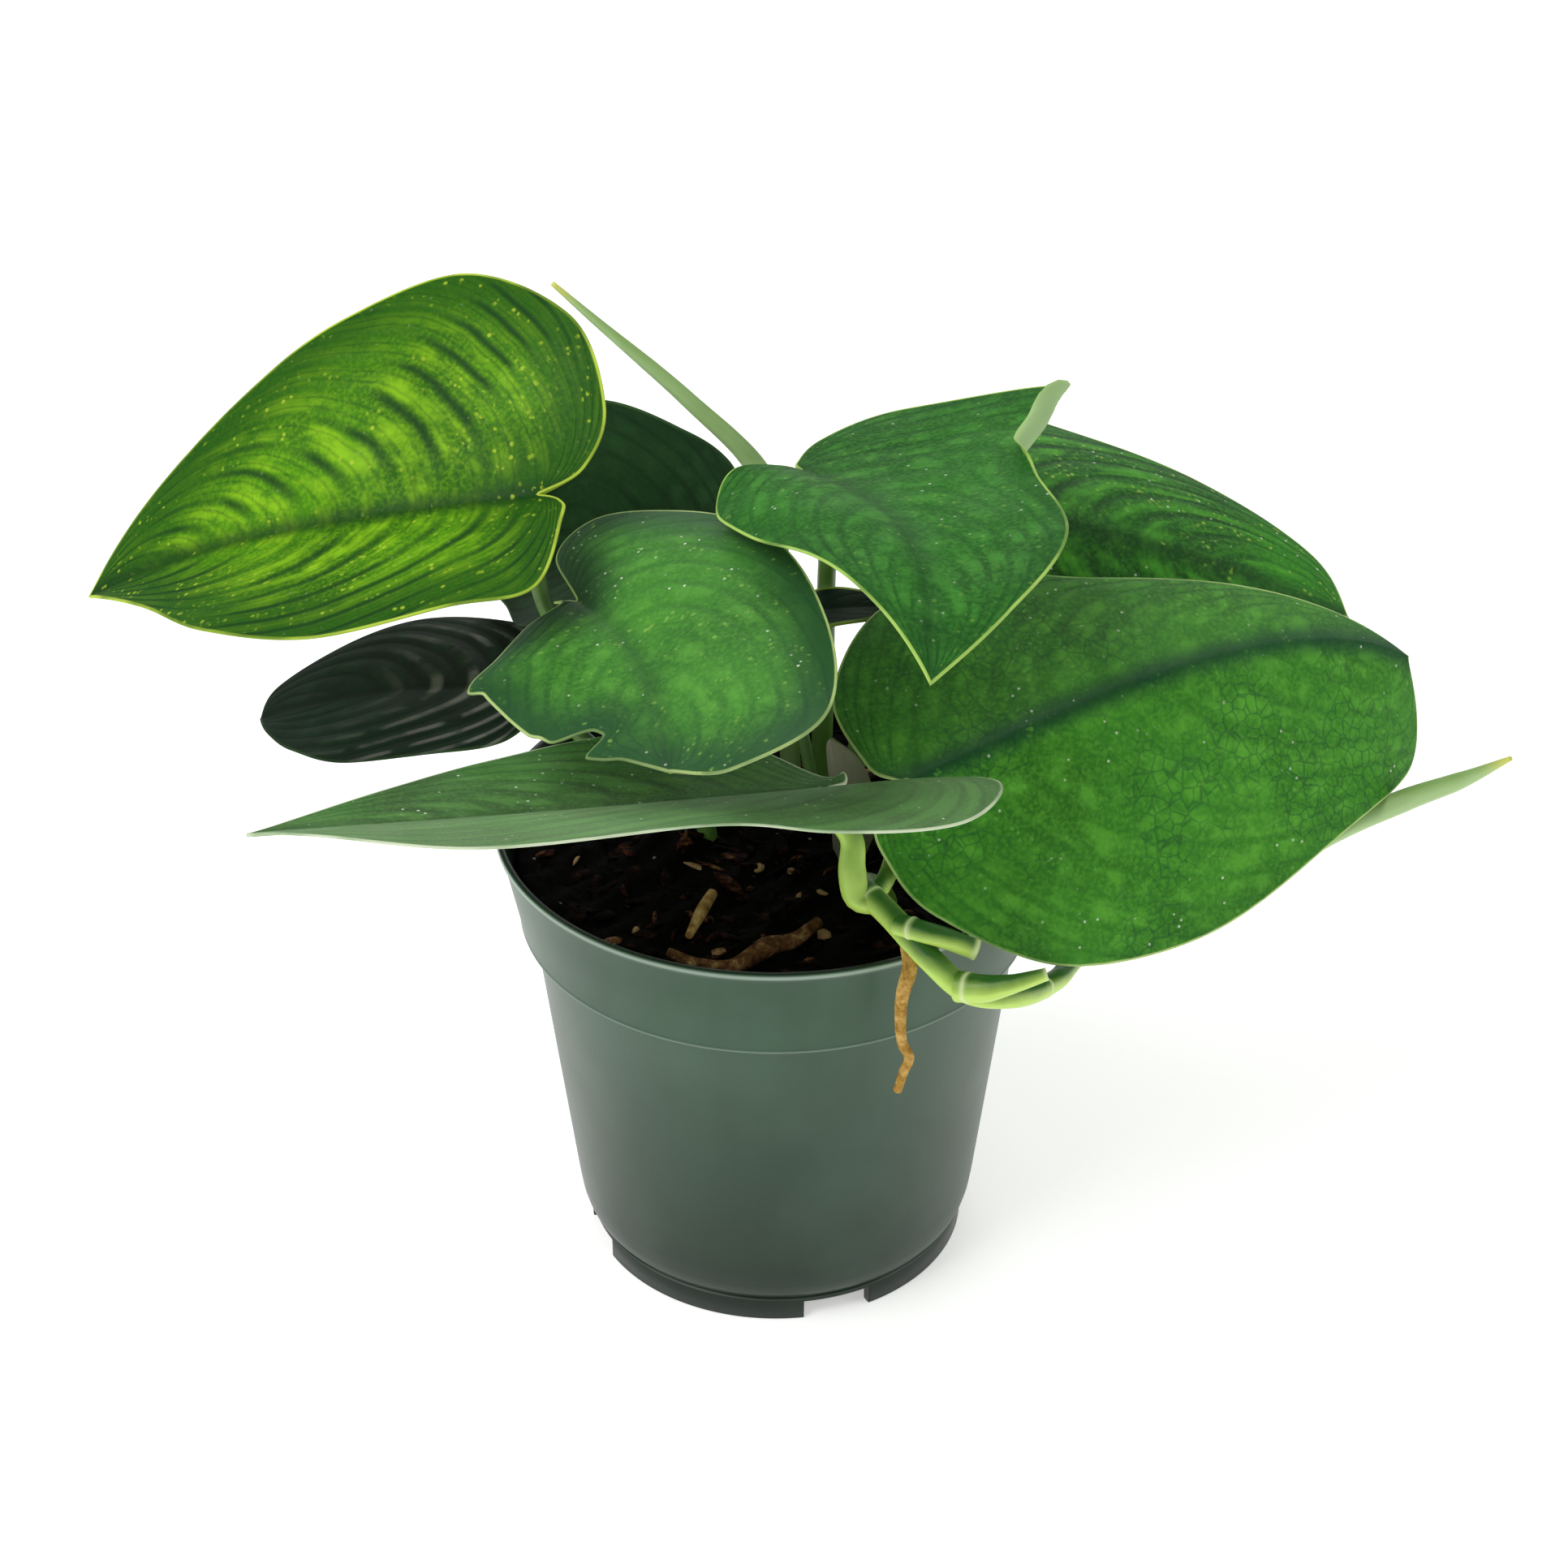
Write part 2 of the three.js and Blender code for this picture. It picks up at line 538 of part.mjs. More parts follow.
function leafGeometry(leaf) {
  const places = stations(leaf);
  const outs = leaf.curl ? CURLED_OUTS : FLAT_OUTS;
  const points = [];
  const faces = [];
  for (const half of ['left', 'right']) {
    const margin = marginOf(leaf, half);
    const firstTop = points.length;
    const grid = places.map((place) => outs.map((out) => bladePoint(leaf, half, margin, place, out)));
    for (const face of [1, -1]) {
      for (const row of grid) for (const { point, normal } of row) {
        points.push(point.clone().addScaledVector(normal, (face * BLADE) / 2));
      }
    }
    const firstBottom = firstTop + places.length * outs.length;
    const turned = half === 'left' ? ([a, b, c]) => [a, b, c] : ([a, b, c]) => [a, c, b];
    for (let i = 0; i + 1 < places.length; i++) {
      for (let j = 0; j + 1 < outs.length; j++) {
        const a = i * outs.length + j;
        const b = a + outs.length;
        for (const cell of [[a, b, b + 1], [a, b + 1, a + 1]]) {
          faces.push(turned(cell.map((n) => n + firstTop)));
          faces.push(turned(cell.map((n) => n + firstBottom).reverse()));
        }
      }
      const near = (i + 1) * outs.length - 1;
      const far = near + outs.length;
      faces.push(turned([firstTop + near, firstTop + far, firstBottom + far]));
      faces.push(turned([firstTop + near, firstBottom + far, firstBottom + near]));
    }
  }
  return welded(geometryOf(points, faces));
}

// Joins corners that share a place, and drops the faces that this leaves without area.
function welded(geometry) {
  geometry.deleteAttribute('normal');
  const merged = mergeVertices(geometry, 1e-4);
  const index = merged.index.array;
  const kept = [];
  for (let i = 0; i < index.length; i += 3) {
    const [a, b, c] = index.slice(i, i + 3);
    if (a !== b && b !== c && c !== a) kept.push(a, b, c);
  }
  merged.setIndex(kept);
  merged.computeVertexNormals();
  return merged;
}

for (const [name, leaf] of Object.entries(LEAVES)) {
  add(name, leafGeometry(leaf), FINISH[leaf.finish]);
}

// A leaf stalk ends just under the midrib, pointing along it.
const STALK_OVERLAP = 2; // how far along the midrib it ends

function stalkRoute(stalk) {
  const leaf = LEAVES[stalk.leaf];
  const below = BLADE / 2 + GAP + stalk.radius.at(-1);
  const end = ribPoint(leaf, STALK_OVERLAP)
    .addScaledVector(bladeFrame(leaf, STALK_OVERLAP).normal, -below);
  return [...stalk.route, end.toArray()];
}

const holes = [];
const HOLE_FOOT = 4; // length of the flat-ended foot of a stem's hole, and
const HOLE_FOOT_SPREAD = 0.35; // how much wider it is
const uprightCylinder = (radius, height) =>
  new THREE.CylinderGeometry(radius, radius, height, 12).rotateX(Math.PI / 2);

function standInSoil(route, radii) {
  const wider = radii.map((radius) => radius + HOLE_CLEARANCE);
  holes.push(solidOf(stemGeometry(route, wider)));
  const foot = uprightCylinder(wider[0] + HOLE_FOOT_SPREAD, HOLE_FOOT);
  holes.push(solidOf(foot.translate(...route[0])));
}

for (const [name, stalk] of Object.entries(STALKS)) {
  const route = stalkRoute(stalk);
  add(name, stemGeometry(route, stalk.radius), FINISH.darkStem);
  standInSoil(route, stalk.radius);
}

// Vine: the trailing stem with two cut stubs and the stalks of the two front leaves.
const vine = [
  [VINE_ROUTE, VINE_RADIUS],
  [UPPER_STUB, UPPER_STUB_RADIUS],
  [LOWER_STUB, LOWER_STUB_RADIUS],
  [stalkRoute(FRONT_STALK), FRONT_STALK.radius],
  [stalkRoute(RIGHT_STALK), RIGHT_STALK.radius],
].map(([route, radii]) => solidOf(stemGeometry(route, radii)))
  .reduce((joined, piece) => joined.add(piece));
add('trailing_vine', geometryOfSolid(largestBody(vine)), FINISH.stem);
standInSoil(VINE_ROUTE, VINE_RADIUS);

add('aerial_root', stemGeometry(AERIAL_ROOT_ROUTE, AERIAL_ROOT_RADIUS), FINISH.root);

for (const [name, roll] of Object.entries(FURLED)) {
  add(name, stemGeometry(roll.route, roll.radius), FINISH.youngLeaf);
}
standInSoil(FURLED.furled_leaf_tall.route, FURLED.furled_leaf_tall.radius);

function layInSoil(name, route, radii, material) {
  add(name, stemGeometry(route, radii, 7), material);
  holes.push(solidOf(stemGeometry(route, radii.map((radius) => radius + HOLE_CLEARANCE), 7)));
}

layInSoil('wood_splinter', STICK_ROUTE, STICK_RADIUS, FINISH.root);
layInSoil('dead_root', DEAD_ROOT_ROUTE, DEAD_ROOT_RADIUS, FINISH.bark);
const sheathHole = uprightCylinder(SHEATH_HOLE_RADIUS, SHEATH_HOLE_HEIGHT);
sheathHole.translate(...LEAVES.dried_sheath.at).translate(0, 0, SHEATH_HOLE_RISE);
holes.push(solidOf(sheathHole));

let soil = solidOf(soilBody());
for (let i = 0; i < CHIP_COUNT; i++) {
  const size = [CHIP_LENGTH, CHIP_WIDTH, CHIP_THICKNESS].map((range) => between(...range));
  soil = soil.add(solidOf(barkChip(...size)));
}
for (const hole of holes) soil = soil.subtract(hole);
add('potting_mix', geometryOfSolid(largestBody(soil)), FINISH.soil);

export default group;
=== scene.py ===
import bmesh
import bpy
import numpy as np
from mathutils import Matrix, Vector


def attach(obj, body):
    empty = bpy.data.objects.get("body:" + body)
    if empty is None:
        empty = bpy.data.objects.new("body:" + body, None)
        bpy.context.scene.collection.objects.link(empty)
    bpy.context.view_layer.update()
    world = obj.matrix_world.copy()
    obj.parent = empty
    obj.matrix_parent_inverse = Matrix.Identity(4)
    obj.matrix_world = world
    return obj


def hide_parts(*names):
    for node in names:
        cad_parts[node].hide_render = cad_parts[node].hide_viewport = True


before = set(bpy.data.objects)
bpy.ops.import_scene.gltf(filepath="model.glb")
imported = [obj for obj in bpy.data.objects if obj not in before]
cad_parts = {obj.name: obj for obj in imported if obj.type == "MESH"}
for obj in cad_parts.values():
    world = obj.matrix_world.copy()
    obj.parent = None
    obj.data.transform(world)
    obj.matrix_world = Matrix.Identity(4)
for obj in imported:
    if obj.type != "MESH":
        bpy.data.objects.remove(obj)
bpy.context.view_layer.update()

# The photographer's stand. The camera looks down at the front of the pot from a little over half a
# metre, through a long lens, so the leaves keep their shape.
MM = 0.001
AIM = Vector((0.0016, 0.0, 0.0983))
CAMERA_DISTANCE = 0.650
CAMERA_ELEVATION = np.radians(32.3)
FOCAL_LENGTH_PX = 4312
PICTURE_PX = 1932
SENSOR_MM = 36.0


def add_object(name, data):
    """An object at the origin for a mesh, a lamp or the camera, linked into the scene."""
    made = bpy.data.objects.new(name, data)
    bpy.context.scene.collection.objects.link(made)
    return made


back = Vector((0.0, -np.cos(CAMERA_ELEVATION), np.sin(CAMERA_ELEVATION)))
camera_data = bpy.data.cameras.new("camera")
camera_data.sensor_width = SENSOR_MM
camera_data.lens = FOCAL_LENGTH_PX / PICTURE_PX * SENSOR_MM
camera = add_object("camera", camera_data)
camera.matrix_world = (Matrix.Translation(AIM + back * CAMERA_DISTANCE)
                       @ back.to_track_quat("Z", "Y").to_matrix().to_4x4())
bpy.context.scene.camera = camera
bpy.context.scene.view_settings.view_transform = "Standard"

# The studio. A sheet of white paper without an edge, lit a little from below as on a light table,
# one large soft lamp above on the left, weaker ones on the right and behind, and pale walls.
FLOOR_SIZE = 8.0
FLOOR_COLOUR = "#fbfbfa"
FLOOR_GLOW = 0.44
ROOM_COLOUR = "#ffffff"
ROOM_STRENGTH = 0.42
LAMPS = {
    "lamp_left": {"at": (-0.75, -0.45, 1.15), "size": 0.95, "watts": 13.0},
    "lamp_right": {"at": (1.1, -0.2, 0.6), "size": 0.7, "watts": 2.5},
    "lamp_back": {"at": (0.1, 1.2, 0.9), "size": 1.0, "watts": 5.0},
}


def linear(hex_colour):
    """An sRGB hex colour as linear red, green, blue and alpha."""
    channels = np.array([int(hex_colour[i:i + 2], 16) for i in (1, 3, 5)]) / 255
    curved = ((channels + 0.055) / 1.055) ** 2.4
    return (*np.where(channels <= 0.04045, channels / 12.92, curved), 1.0)


def add_node(tree, kind, inputs, **settings):
    """Adds a shader node with its settings. inputs holds a value or another node's output for
    each socket."""
    made = tree.nodes.new("ShaderNode" + kind)
    for key, value in settings.items():
        setattr(made, key, value)
    for socket, value in inputs.items():
        if isinstance(value, bpy.types.NodeSocket):
            tree.links.new(value, made.inputs[socket])
        else:
            made.inputs[socket].default_value = value
    return made


def new_material(name):
    """A material and its emptied node tree."""
    material = bpy.data.materials.new(name)
    material.use_nodes = True
    material.node_tree.nodes.clear()
    return material, material.node_tree


paper, tree = new_material("matt white paper")
shader = add_node(tree, "BsdfPrincipled",
                  {"Base Color": linear(FLOOR_COLOUR), "Roughness": 0.9,
                   "Emission Color": linear(FLOOR_COLOUR), "Emission Strength": FLOOR_GLOW})
add_node(tree, "OutputMaterial", {"Surface": shader.outputs[0]})

floor_mesh = bpy.data.meshes.new("floor")
half = FLOOR_SIZE / 2
floor_mesh.from_pydata([(-half, -half, 0), (half, -half, 0), (half, half, 0), (-half, half, 0)],
                       [], [(0, 1, 2, 3)])
floor_mesh.materials.append(paper)
floor = add_object("floor", floor_mesh)

world = bpy.data.worlds.new("pale room")
world.use_nodes = True
world.node_tree.nodes["Background"].inputs["Color"].default_value = linear(ROOM_COLOUR)
world.node_tree.nodes["Background"].inputs["Strength"].default_value = ROOM_STRENGTH
bpy.context.scene.world = world

for name, lamp in LAMPS.items():
    light = bpy.data.lights.new(name, "AREA")
    light.size = lamp["size"]
    light.energy = lamp["watts"]
    holder = add_object(name, light)
    place = Vector(lamp["at"])
    holder.matrix_world = (Matrix.Translation(place)
                           @ (place - AIM).to_track_quat("Z", "Y").to_matrix().to_4x4())

# The nursery pot. Thin polypropylene, injected into a mould in one shot: satin grey-green, with a
# stepped collar, a thin lip, and a foot ring with four gaps. A painted highlight runs along the
# collar's edge, the lip and the foot's edge, and painted shade darkens the wall within the lip and
# the underside.
POT_UNDERSIDE = [(0, 0), (8, 0), (8.5, 2.4), (32.3, 2.4), (32.5, 2.4), (34.4, 2.4), (34.8, 2.4),
                 (34.8, 0.15), (34.95, 0), (36.5, 0), (36.7, 0.2), (36.7, 4.55), (36.6, 4.78),
                 (36.3, 4.9), (36.15, 5.1)]
POT_BODY = [(36.3, 5.35), (36.9, 5.75), (37.6, 6.7), (38.1, 7.8), (38.6, 9.6), (39.1, 13),
            (45.9, 70.7), (46.1, 71.1)]
POT_COLLAR = [(47.5, 71.6), (48.05, 71.75), (48.3, 71.95), (48.38, 72.2), (48.3, 72.5),
              (48.35, 73), (49.3, 78), (50.8, 85.5), (51.65, 89.8)]
POT_LIP = [(51.8, 90.3), (52.25, 90.5), (52.45, 90.75), (52.5, 91.1), (52.47, 91.45),
           (52.35, 91.75), (52.1, 91.95), (51.7, 92), (51.3, 91.9), (51.05, 91.6)]
POT_INSIDE = [(50.75, 90.3), (49.7, 85.5), (48.2, 78), (47.1, 72.3), (44.9, 70.6), (38, 13),
              (36.9, 7.6), (35.75, 4.2), (0, 4.2)]
POT_SIDES = 240
FOOT_RADIUS = 36.7
FOOT_GAPS = 4
FOOT_GAP_ANGLE = np.radians(18.9 - 90)
FOOT_GAP_TOP = 4.1  # just under the inside floor at 4.2
FOOT_GAP_EDGES = (-6.65, 3.35, 6.65)  # left end, where it gets shallow, and right end
FOOT_GAP_REACH = (32.4, 34.6)  # inner radius of its deep part and of its shallow part
# Painted highlights: the outer edge of the lip, the collar's edge and the foot's edge are painted
# pale.
LIP_HIGHLIGHT = (52.45, 91.3)
EDGE_HIGHLIGHTS = [(48, 72.15, 0.3, 0.45), (36.4, 4.75, 0.25, 0.3)]  # radius, height, width, strength
# Painted shade on the inner wall from the last points of the lip, and on the underside below a
# height, darkest within a radius.
LIP_INSIDE_POINTS = 4
UNDERSIDE_TOP = 4.6
UNDERSIDE_RADIUS = 36
MERGE_DISTANCE = 2e-6
STEP_KINDS = {
    "noise": ("TexNoise", ("Vector", "Scale", "Detail", "Roughness"), {}),
    "spots": ("TexVoronoi", ("Vector", "Scale"), {"feature": "F1"}),
    "net": ("TexVoronoi", ("Vector", "Scale"), {"feature": "DISTANCE_TO_EDGE"}),
    "span": ("MapRange", ("Value", 1, 2, 3, 4), {}),
    "fade": ("MapRange", ("Value", 1, 2, 3, 4), {"interpolation_type": "SMOOTHSTEP"}),
    "stretch": ("Mapping", ("Vector", "Scale"), {}),
    "join": ("CombineXYZ", (0, 1, 2), {}),
}
# low and high run from the bottom of the body to its top, and low also draws the flow lines; edge
# is a painted highlight, and the last, near-black colour is painted shade on the inner wall and
# underneath.
POT_COLOURS = {"low": "#091b10", "high": "#36533d", "bloom": "#5f7a69", "edge": "#b4c6b6",
               "inside": "#131c16"}


def build_piece(name, points, faces, material, maps=None, values=None):
    """A mesh at the origin from points in mm and faces of four corners. Doubled points are merged,
    which closes seams and poles. maps holds a UV per point, and values a number per point."""
    mesh = bpy.data.meshes.new(name)
    mesh.vertices.add(len(points))
    mesh.vertices.foreach_set("co", (np.asarray(points) * MM).astype(np.float32).ravel())
    mesh.loops.add(faces.size)
    mesh.loops.foreach_set("vertex_index", faces.astype(np.int32).ravel())
    mesh.polygons.add(len(faces))
    mesh.polygons.foreach_set("loop_start", np.arange(0, faces.size, 4, dtype=np.int32))
    mesh.update(calc_edges=True)
    for key, number in (values or {}).items():
        attribute = mesh.attributes.new(key, "FLOAT", "POINT")
        attribute.data.foreach_set("value", np.asarray(number, np.float32).ravel())
    for key, pair in (maps or {}).items():
        layer = mesh.uv_layers.new(name=key)
        layer.uv.foreach_set("vector", pair[faces.ravel()].astype(np.float32).ravel())
    shape = bmesh.new()
    shape.from_mesh(mesh)
    bmesh.ops.remove_doubles(shape, verts=shape.verts, dist=MERGE_DISTANCE)
    bmesh.ops.dissolve_degenerate(shape, edges=shape.edges, dist=MERGE_DISTANCE)
    shape.to_mesh(mesh)
    shape.free()
    mesh.shade_smooth()
    mesh.materials.append(material)
    return add_object(name, mesh)


def stands_for(piece, node):
    """The piece rides with the plant and stands for a CAD node, which is hidden."""
    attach(piece, "root")
    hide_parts(node)


def grid_faces(rows, columns, first=0, closed=False, flipped=False):
    """Corners of the cells of a grid of points, row by row. closed joins the last column to the
    first, and flipped turns the faces over."""
    across = np.arange(columns if closed else columns - 1)
    down = np.arange(rows - 1)[:, None]
    near = down * columns + across
    beside = down * columns + (across + 1) % columns
    cells = np.stack([near, beside, beside + columns, near + columns], -1).reshape(-1, 4) + first
    return cells[:, ::-1] if flipped else cells


def turned_on_lathe(profile, angle):
    """Each point (r, z) of a profile goes round the Z axis: (r cos a, r sin a, z)."""
    r, z = np.array(profile, float).T[:, :, None]
    return np.stack([r * np.cos(angle), r * np.sin(angle), z + 0 * angle], -1)


def read_surface(tree, *attributes):
    """The place on the piece and the named attributes of its points."""
    known = {"place": add_node(tree, "TexCoord", {}).outputs["Object"]}
    for key in attributes:
        known[key] = add_node(tree, "Attribute", {}, attribute_name=key).outputs[2]
    return known


def add_steps(tree, known, steps):
    """Each step makes one node: what its result is called in known, its kind or its sum, and what
    goes in, by name or as a number. The scale of a pattern is 1000 over its size in mm."""
    for key, kind, *items in steps:
        node, sockets, settings = STEP_KINDS.get(kind, ("Math", (0, 1), {"operation": kind}))
        inputs = {socket: known.get(item, item) for socket, item in zip(sockets, items)}
        known[key] = add_node(tree, node, inputs, **settings).outputs[0]


def add_layers(tree, known, colour, layers):
    """Each layer is painted over those before it: its colour, and the masks whose product is how
    strongly it shows."""
    for paint, *masks in layers:
        amount, *others = [known.get(mask, mask) for mask in masks]
        for other in others:
            amount = add_node(tree, "Math", {0: amount, 1: other}, operation="MULTIPLY").outputs[0]
        colour = add_node(tree, "Mix", {0: amount, 6: colour, 7: linear(paint)},
                          data_type="RGBA").outputs[2]
    return colour


def finished(material, height, strength, depth, inputs):
    """Ends a material: a relief from a height, with its strength and depth, and the shader."""
    tree = material.node_tree
    relief = add_node(tree, "Bump", {"Height": height, "Strength": strength, "Distance": depth})
    shader = add_node(tree, "BsdfPrincipled", {**inputs, "Normal": relief.outputs[0]})
    add_node(tree, "OutputMaterial", {"Surface": shader.outputs[0]})
    return material


def moulded_plastic(name, colours):
    """Satin polypropylene: darker towards the bottom, faint upright flow lines, a dusty bloom in
    patches and fine grain, with painted highlights along its thin edges and painted shade on the
    inner wall and underneath."""
    material, tree = new_material(name)
    known = read_surface(tree, "edge", "inside")
    known["height"] = add_node(tree, "SeparateXYZ", {0: known["place"]}).outputs[2]
    add_steps(tree, known, [
        ("upright", "stretch", "place", (1, 1, 0.12)), ("flow", "noise", "upright", 90.0, 3.0),
        ("patches", "noise", "place", 28.0, 5.0), ("grain", "noise", "place", 1500.0, 2.0),
        ("rough", "span", "patches", 0.2, 0.8, 0.3, 0.42),
        ("depth", "span", "height", -0.005, 0.075), ("flow", "span", "flow", 0.35, 0.75, 0.0, 0.22),
        ("bloom", "span", "patches", 0.5, 0.8, 0.0, 0.22),
        ("inside", "span", "inside", 0.0, 1.0, 0.0, 0.95),
        ("edge", "span", "edge", 0.15, 1.0, 0.0, 0.85),
    ])
    # The last layer is a painted highlight on the thin edges, and the one before it is painted
    # shade on the inner wall and underneath.
    colour = add_layers(tree, known, linear(colours["low"]), [
        (colours["high"], "depth"), (colours["low"], "flow"), (colours["bloom"], "bloom"),
        (colours["inside"], "inside"), (colours["edge"], "edge"),
    ])
    return finished(material, known["grain"], 0.1, 0.0002,
                    {"Base Color": colour, "Roughness": known["rough"], "IOR": 1.49,
                     "Specular IOR Level": 0.3})


quarter = 2 * np.pi / FOOT_GAPS
gap_centres = FOOT_GAP_ANGLE + quarter * np.arange(FOOT_GAPS)
gap_edges = (gap_centres[:, None] + np.array(FOOT_GAP_EDGES) / FOOT_RADIUS).ravel()
pot_angles = np.concatenate([np.linspace(0, 2 * np.pi, POT_SIDES, endpoint=False),
                             gap_edges - 0.001, gap_edges + 0.001])
pot_angles = np.sort(pot_angles % (2 * np.pi))
pot_profile = POT_UNDERSIDE + POT_BODY + POT_COLLAR + POT_LIP + POT_INSIDE
pot_points = turned_on_lathe(pot_profile, pot_angles)
from_centre = ((pot_angles - FOOT_GAP_ANGLE + quarter / 2) % quarter - quarter / 2) * FOOT_RADIUS
start, shallow, end = FOOT_GAP_EDGES
gap_reach = np.select([(from_centre > start) & (from_centre < shallow),
                       (from_centre > shallow) & (from_centre < end)], FOOT_GAP_REACH, np.inf)
profile_r, profile_z = np.array(pot_profile, float).T[:, :, None]
in_gap = (profile_r > gap_reach) & (profile_z < FOOT_GAP_TOP)
pot_points[..., 2] = np.where(in_gap, FOOT_GAP_TOP, pot_points[..., 2])
# Painted highlights along the lip, the collar's edge and the foot's edge, kept in the edge
# attribute.
lip_r, lip_z = LIP_HIGHLIGHT
painted_highlight = np.exp(-(((profile_r - lip_r) / 0.25) ** 2) - ((profile_z - lip_z) / 0.4) ** 2)
for radius, height, width, strength in EDGE_HIGHLIGHTS:
    near = np.exp(-(((profile_z - height) / width) ** 2))
    painted_highlight = painted_highlight + strength * near * (profile_r > radius)
# Painted shade on the inner wall from just within the lip, and on the underside, darkest under the
# floor.
first_inside = len(pot_profile) - len(POT_INSIDE) - LIP_INSIDE_POINTS
inner = 0.9 * (np.arange(len(pot_profile)) >= first_inside)[:, None]
shade = np.where(profile_r < UNDERSIDE_RADIUS, 1.0, 0.45)
under = np.where(profile_z < UNDERSIDE_TOP, shade, 0.0)
columns = 0 * pot_angles
pot = build_piece("pot_shell", pot_points.reshape(-1, 3),
                  grid_faces(len(pot_profile), len(pot_angles), closed=True),
                  moulded_plastic("moulded satin polypropylene", POT_COLOURS),
                  values={"edge": painted_highlight + columns,
                          "inside": np.maximum(inner, under) + columns})
stands_for(pot, "pot")

# The potting mix. Damp black peat with splinters and flakes of fir bark pressed into it and a few
# grains of white perlite, filled to a finger's width under the lip.
MIX_LEVEL = 85.0
MIX_ROUGHNESS = 0.9
MIX_RADIUS = 48.6
MIX_WALLS = [(0, 4.6), (34.8, 4.6), (36.4, 7.8), (37.5, 13.4), (44.4, 71.3), (46.6, 72.7),
             (47.7, 78.4), (MIX_RADIUS, 83.2)]
MIX_RINGS = 70
MIX_SEED = 4
SPLINTERS = 420
SPLINTER_RINGS = 5
SPLINTER_SIDES = 4
PERLITE_COLOUR = "#8f8d84"
PEAT_COLOURS = ("#020101", "#060404", "#0f0908")
BARK_COLOURS = ("#050303", "#120907", "#331812", "#6d4430", "#a88560")


def mix_height(x, y):
    """Height of the mix: broad lumps as a product of sines, plus finer ones."""
    lumps = np.sin(x * 0.31 + 1) * np.cos(y * 0.27) + 0.6 * np.sin(x * 0.7 - y * 0.55)
    crumbs = np.sin(x * 2.1 + 3 * np.sin(y * 0.9)) * np.sin(y * 1.9 + 2 * np.sin(x * 1.1))
    return MIX_LEVEL + MIX_ROUGHNESS * lumps + 0.35 * crumbs


def damp_bark(name, colours, grain_mm, grit=0.0):
    """Bark, wood and peat: brown in streaks of the grain's size, rough, and without gloss. Each bit
    may have its own tone, and grit is how white the grains of perlite are."""
    material, tree = new_material(name)
    known = read_surface(tree, "tone")
    add_steps(tree, known, [
        ("grain", "noise", "place", 1000 / grain_mm, 6.0, 0.7), ("toned", "ADD", "grain", "tone"),
        ("perlite", "spots", "place", 1000 / 4.5),
        ("white", "span", "perlite", 0.1, 0.05, 0.0, grit),
    ])
    ramp = add_node(tree, "ValToRGB", {"Fac": known["toned"]})
    stops = ramp.color_ramp.elements
    while len(stops) < len(colours):
        stops.new(0.5)
    for stop, colour, where in zip(stops, colours, np.linspace(0.33, 0.72, len(colours))):
        stop.position = where
        stop.color = linear(colour)
    colour = add_layers(tree, known, ramp.outputs[0], [(PERLITE_COLOUR, "white")])
    return finished(material, known["grain"], 0.7, 0.0006,
                    {"Base Color": colour, "Roughness": 0.85, "Specular IOR Level": 0.05})


def splinters(count, seed):
    """Bits of bark as bent flat boxes: x = length*t, bowed by bend*sin(pi*t), with a width that
    narrows towards both ends, turned at random and laid on the mix. Also each bit's tone."""
    draw = np.random.default_rng(seed)
    along, around = np.meshgrid(np.linspace(0, 1, SPLINTER_RINGS), np.arange(SPLINTER_SIDES),
                                indexing="ij")
    corner = np.radians(45 + 90 * around)
    size = draw.uniform([1.5, 0.5, 0.25], [8.5, 2.0, 0.8], (count, 3))
    size *= draw.uniform(0.5, 1.1, (count, 1))
    bow = draw.uniform(-0.12, 0.12, (count, 1, 1))
    narrow = 1 - draw.uniform(0.3, 0.9, (count, 1, 1)) * np.abs(2 * along - 1) ** 2
    x = (along - 0.5) * size[:, 0, None, None]
    y = np.cos(corner) * narrow * size[:, 1, None, None]
    y = y + bow * size[:, 0, None, None] * np.sin(np.pi * along)
    z = np.sin(corner) * narrow * size[:, 2, None, None]
    heading = draw.uniform(0, 2 * np.pi, (count, 1, 1))
    tilt = draw.normal(0, 0.28, (count, 1, 1))
    x, z = x * np.cos(tilt) - z * np.sin(tilt), x * np.sin(tilt) + z * np.cos(tilt)
    x, y = x * np.cos(heading) - y * np.sin(heading), x * np.sin(heading) + y * np.cos(heading)
    polar = (MIX_RADIUS - 4) * np.sqrt(draw.uniform(0, 1, (count, 1, 1)))
    bearing = draw.uniform(0, 2 * np.pi, (count, 1, 1))
    cx, cy = polar * np.cos(bearing), polar * np.sin(bearing)
    tone = 0.38 * draw.uniform(0, 1, (count, 1, 1)) ** 8 - 0.1 + 0 * x
    return np.stack([x + cx, y + cy, z + mix_height(cx, cy) + 0.2], -1), tone


round_angles = np.linspace(0, 2 * np.pi, POT_SIDES, endpoint=False)
wall_points = turned_on_lathe(MIX_WALLS, round_angles)
top_points = turned_on_lathe([(r, 0) for r in np.linspace(MIX_RADIUS - 0.4, 0, MIX_RINGS)],
                             round_angles)
top_points[..., 2] = mix_height(top_points[..., 0], top_points[..., 1])
mix_points = np.concatenate([wall_points, top_points]).reshape(-1, 3)
mix = build_piece("mix_heap", mix_points,
                  grid_faces(len(MIX_WALLS) + MIX_RINGS, POT_SIDES, closed=True),
                  damp_bark("damp peat", PEAT_COLOURS, 3.0, grit=0.8),
                  values={"tone": 0 * mix_points[:, 0]})
splinter_points, splinter_tones = splinters(SPLINTERS, MIX_SEED)
corners = SPLINTER_RINGS * SPLINTER_SIDES
first_end = np.arange(SPLINTER_SIDES)
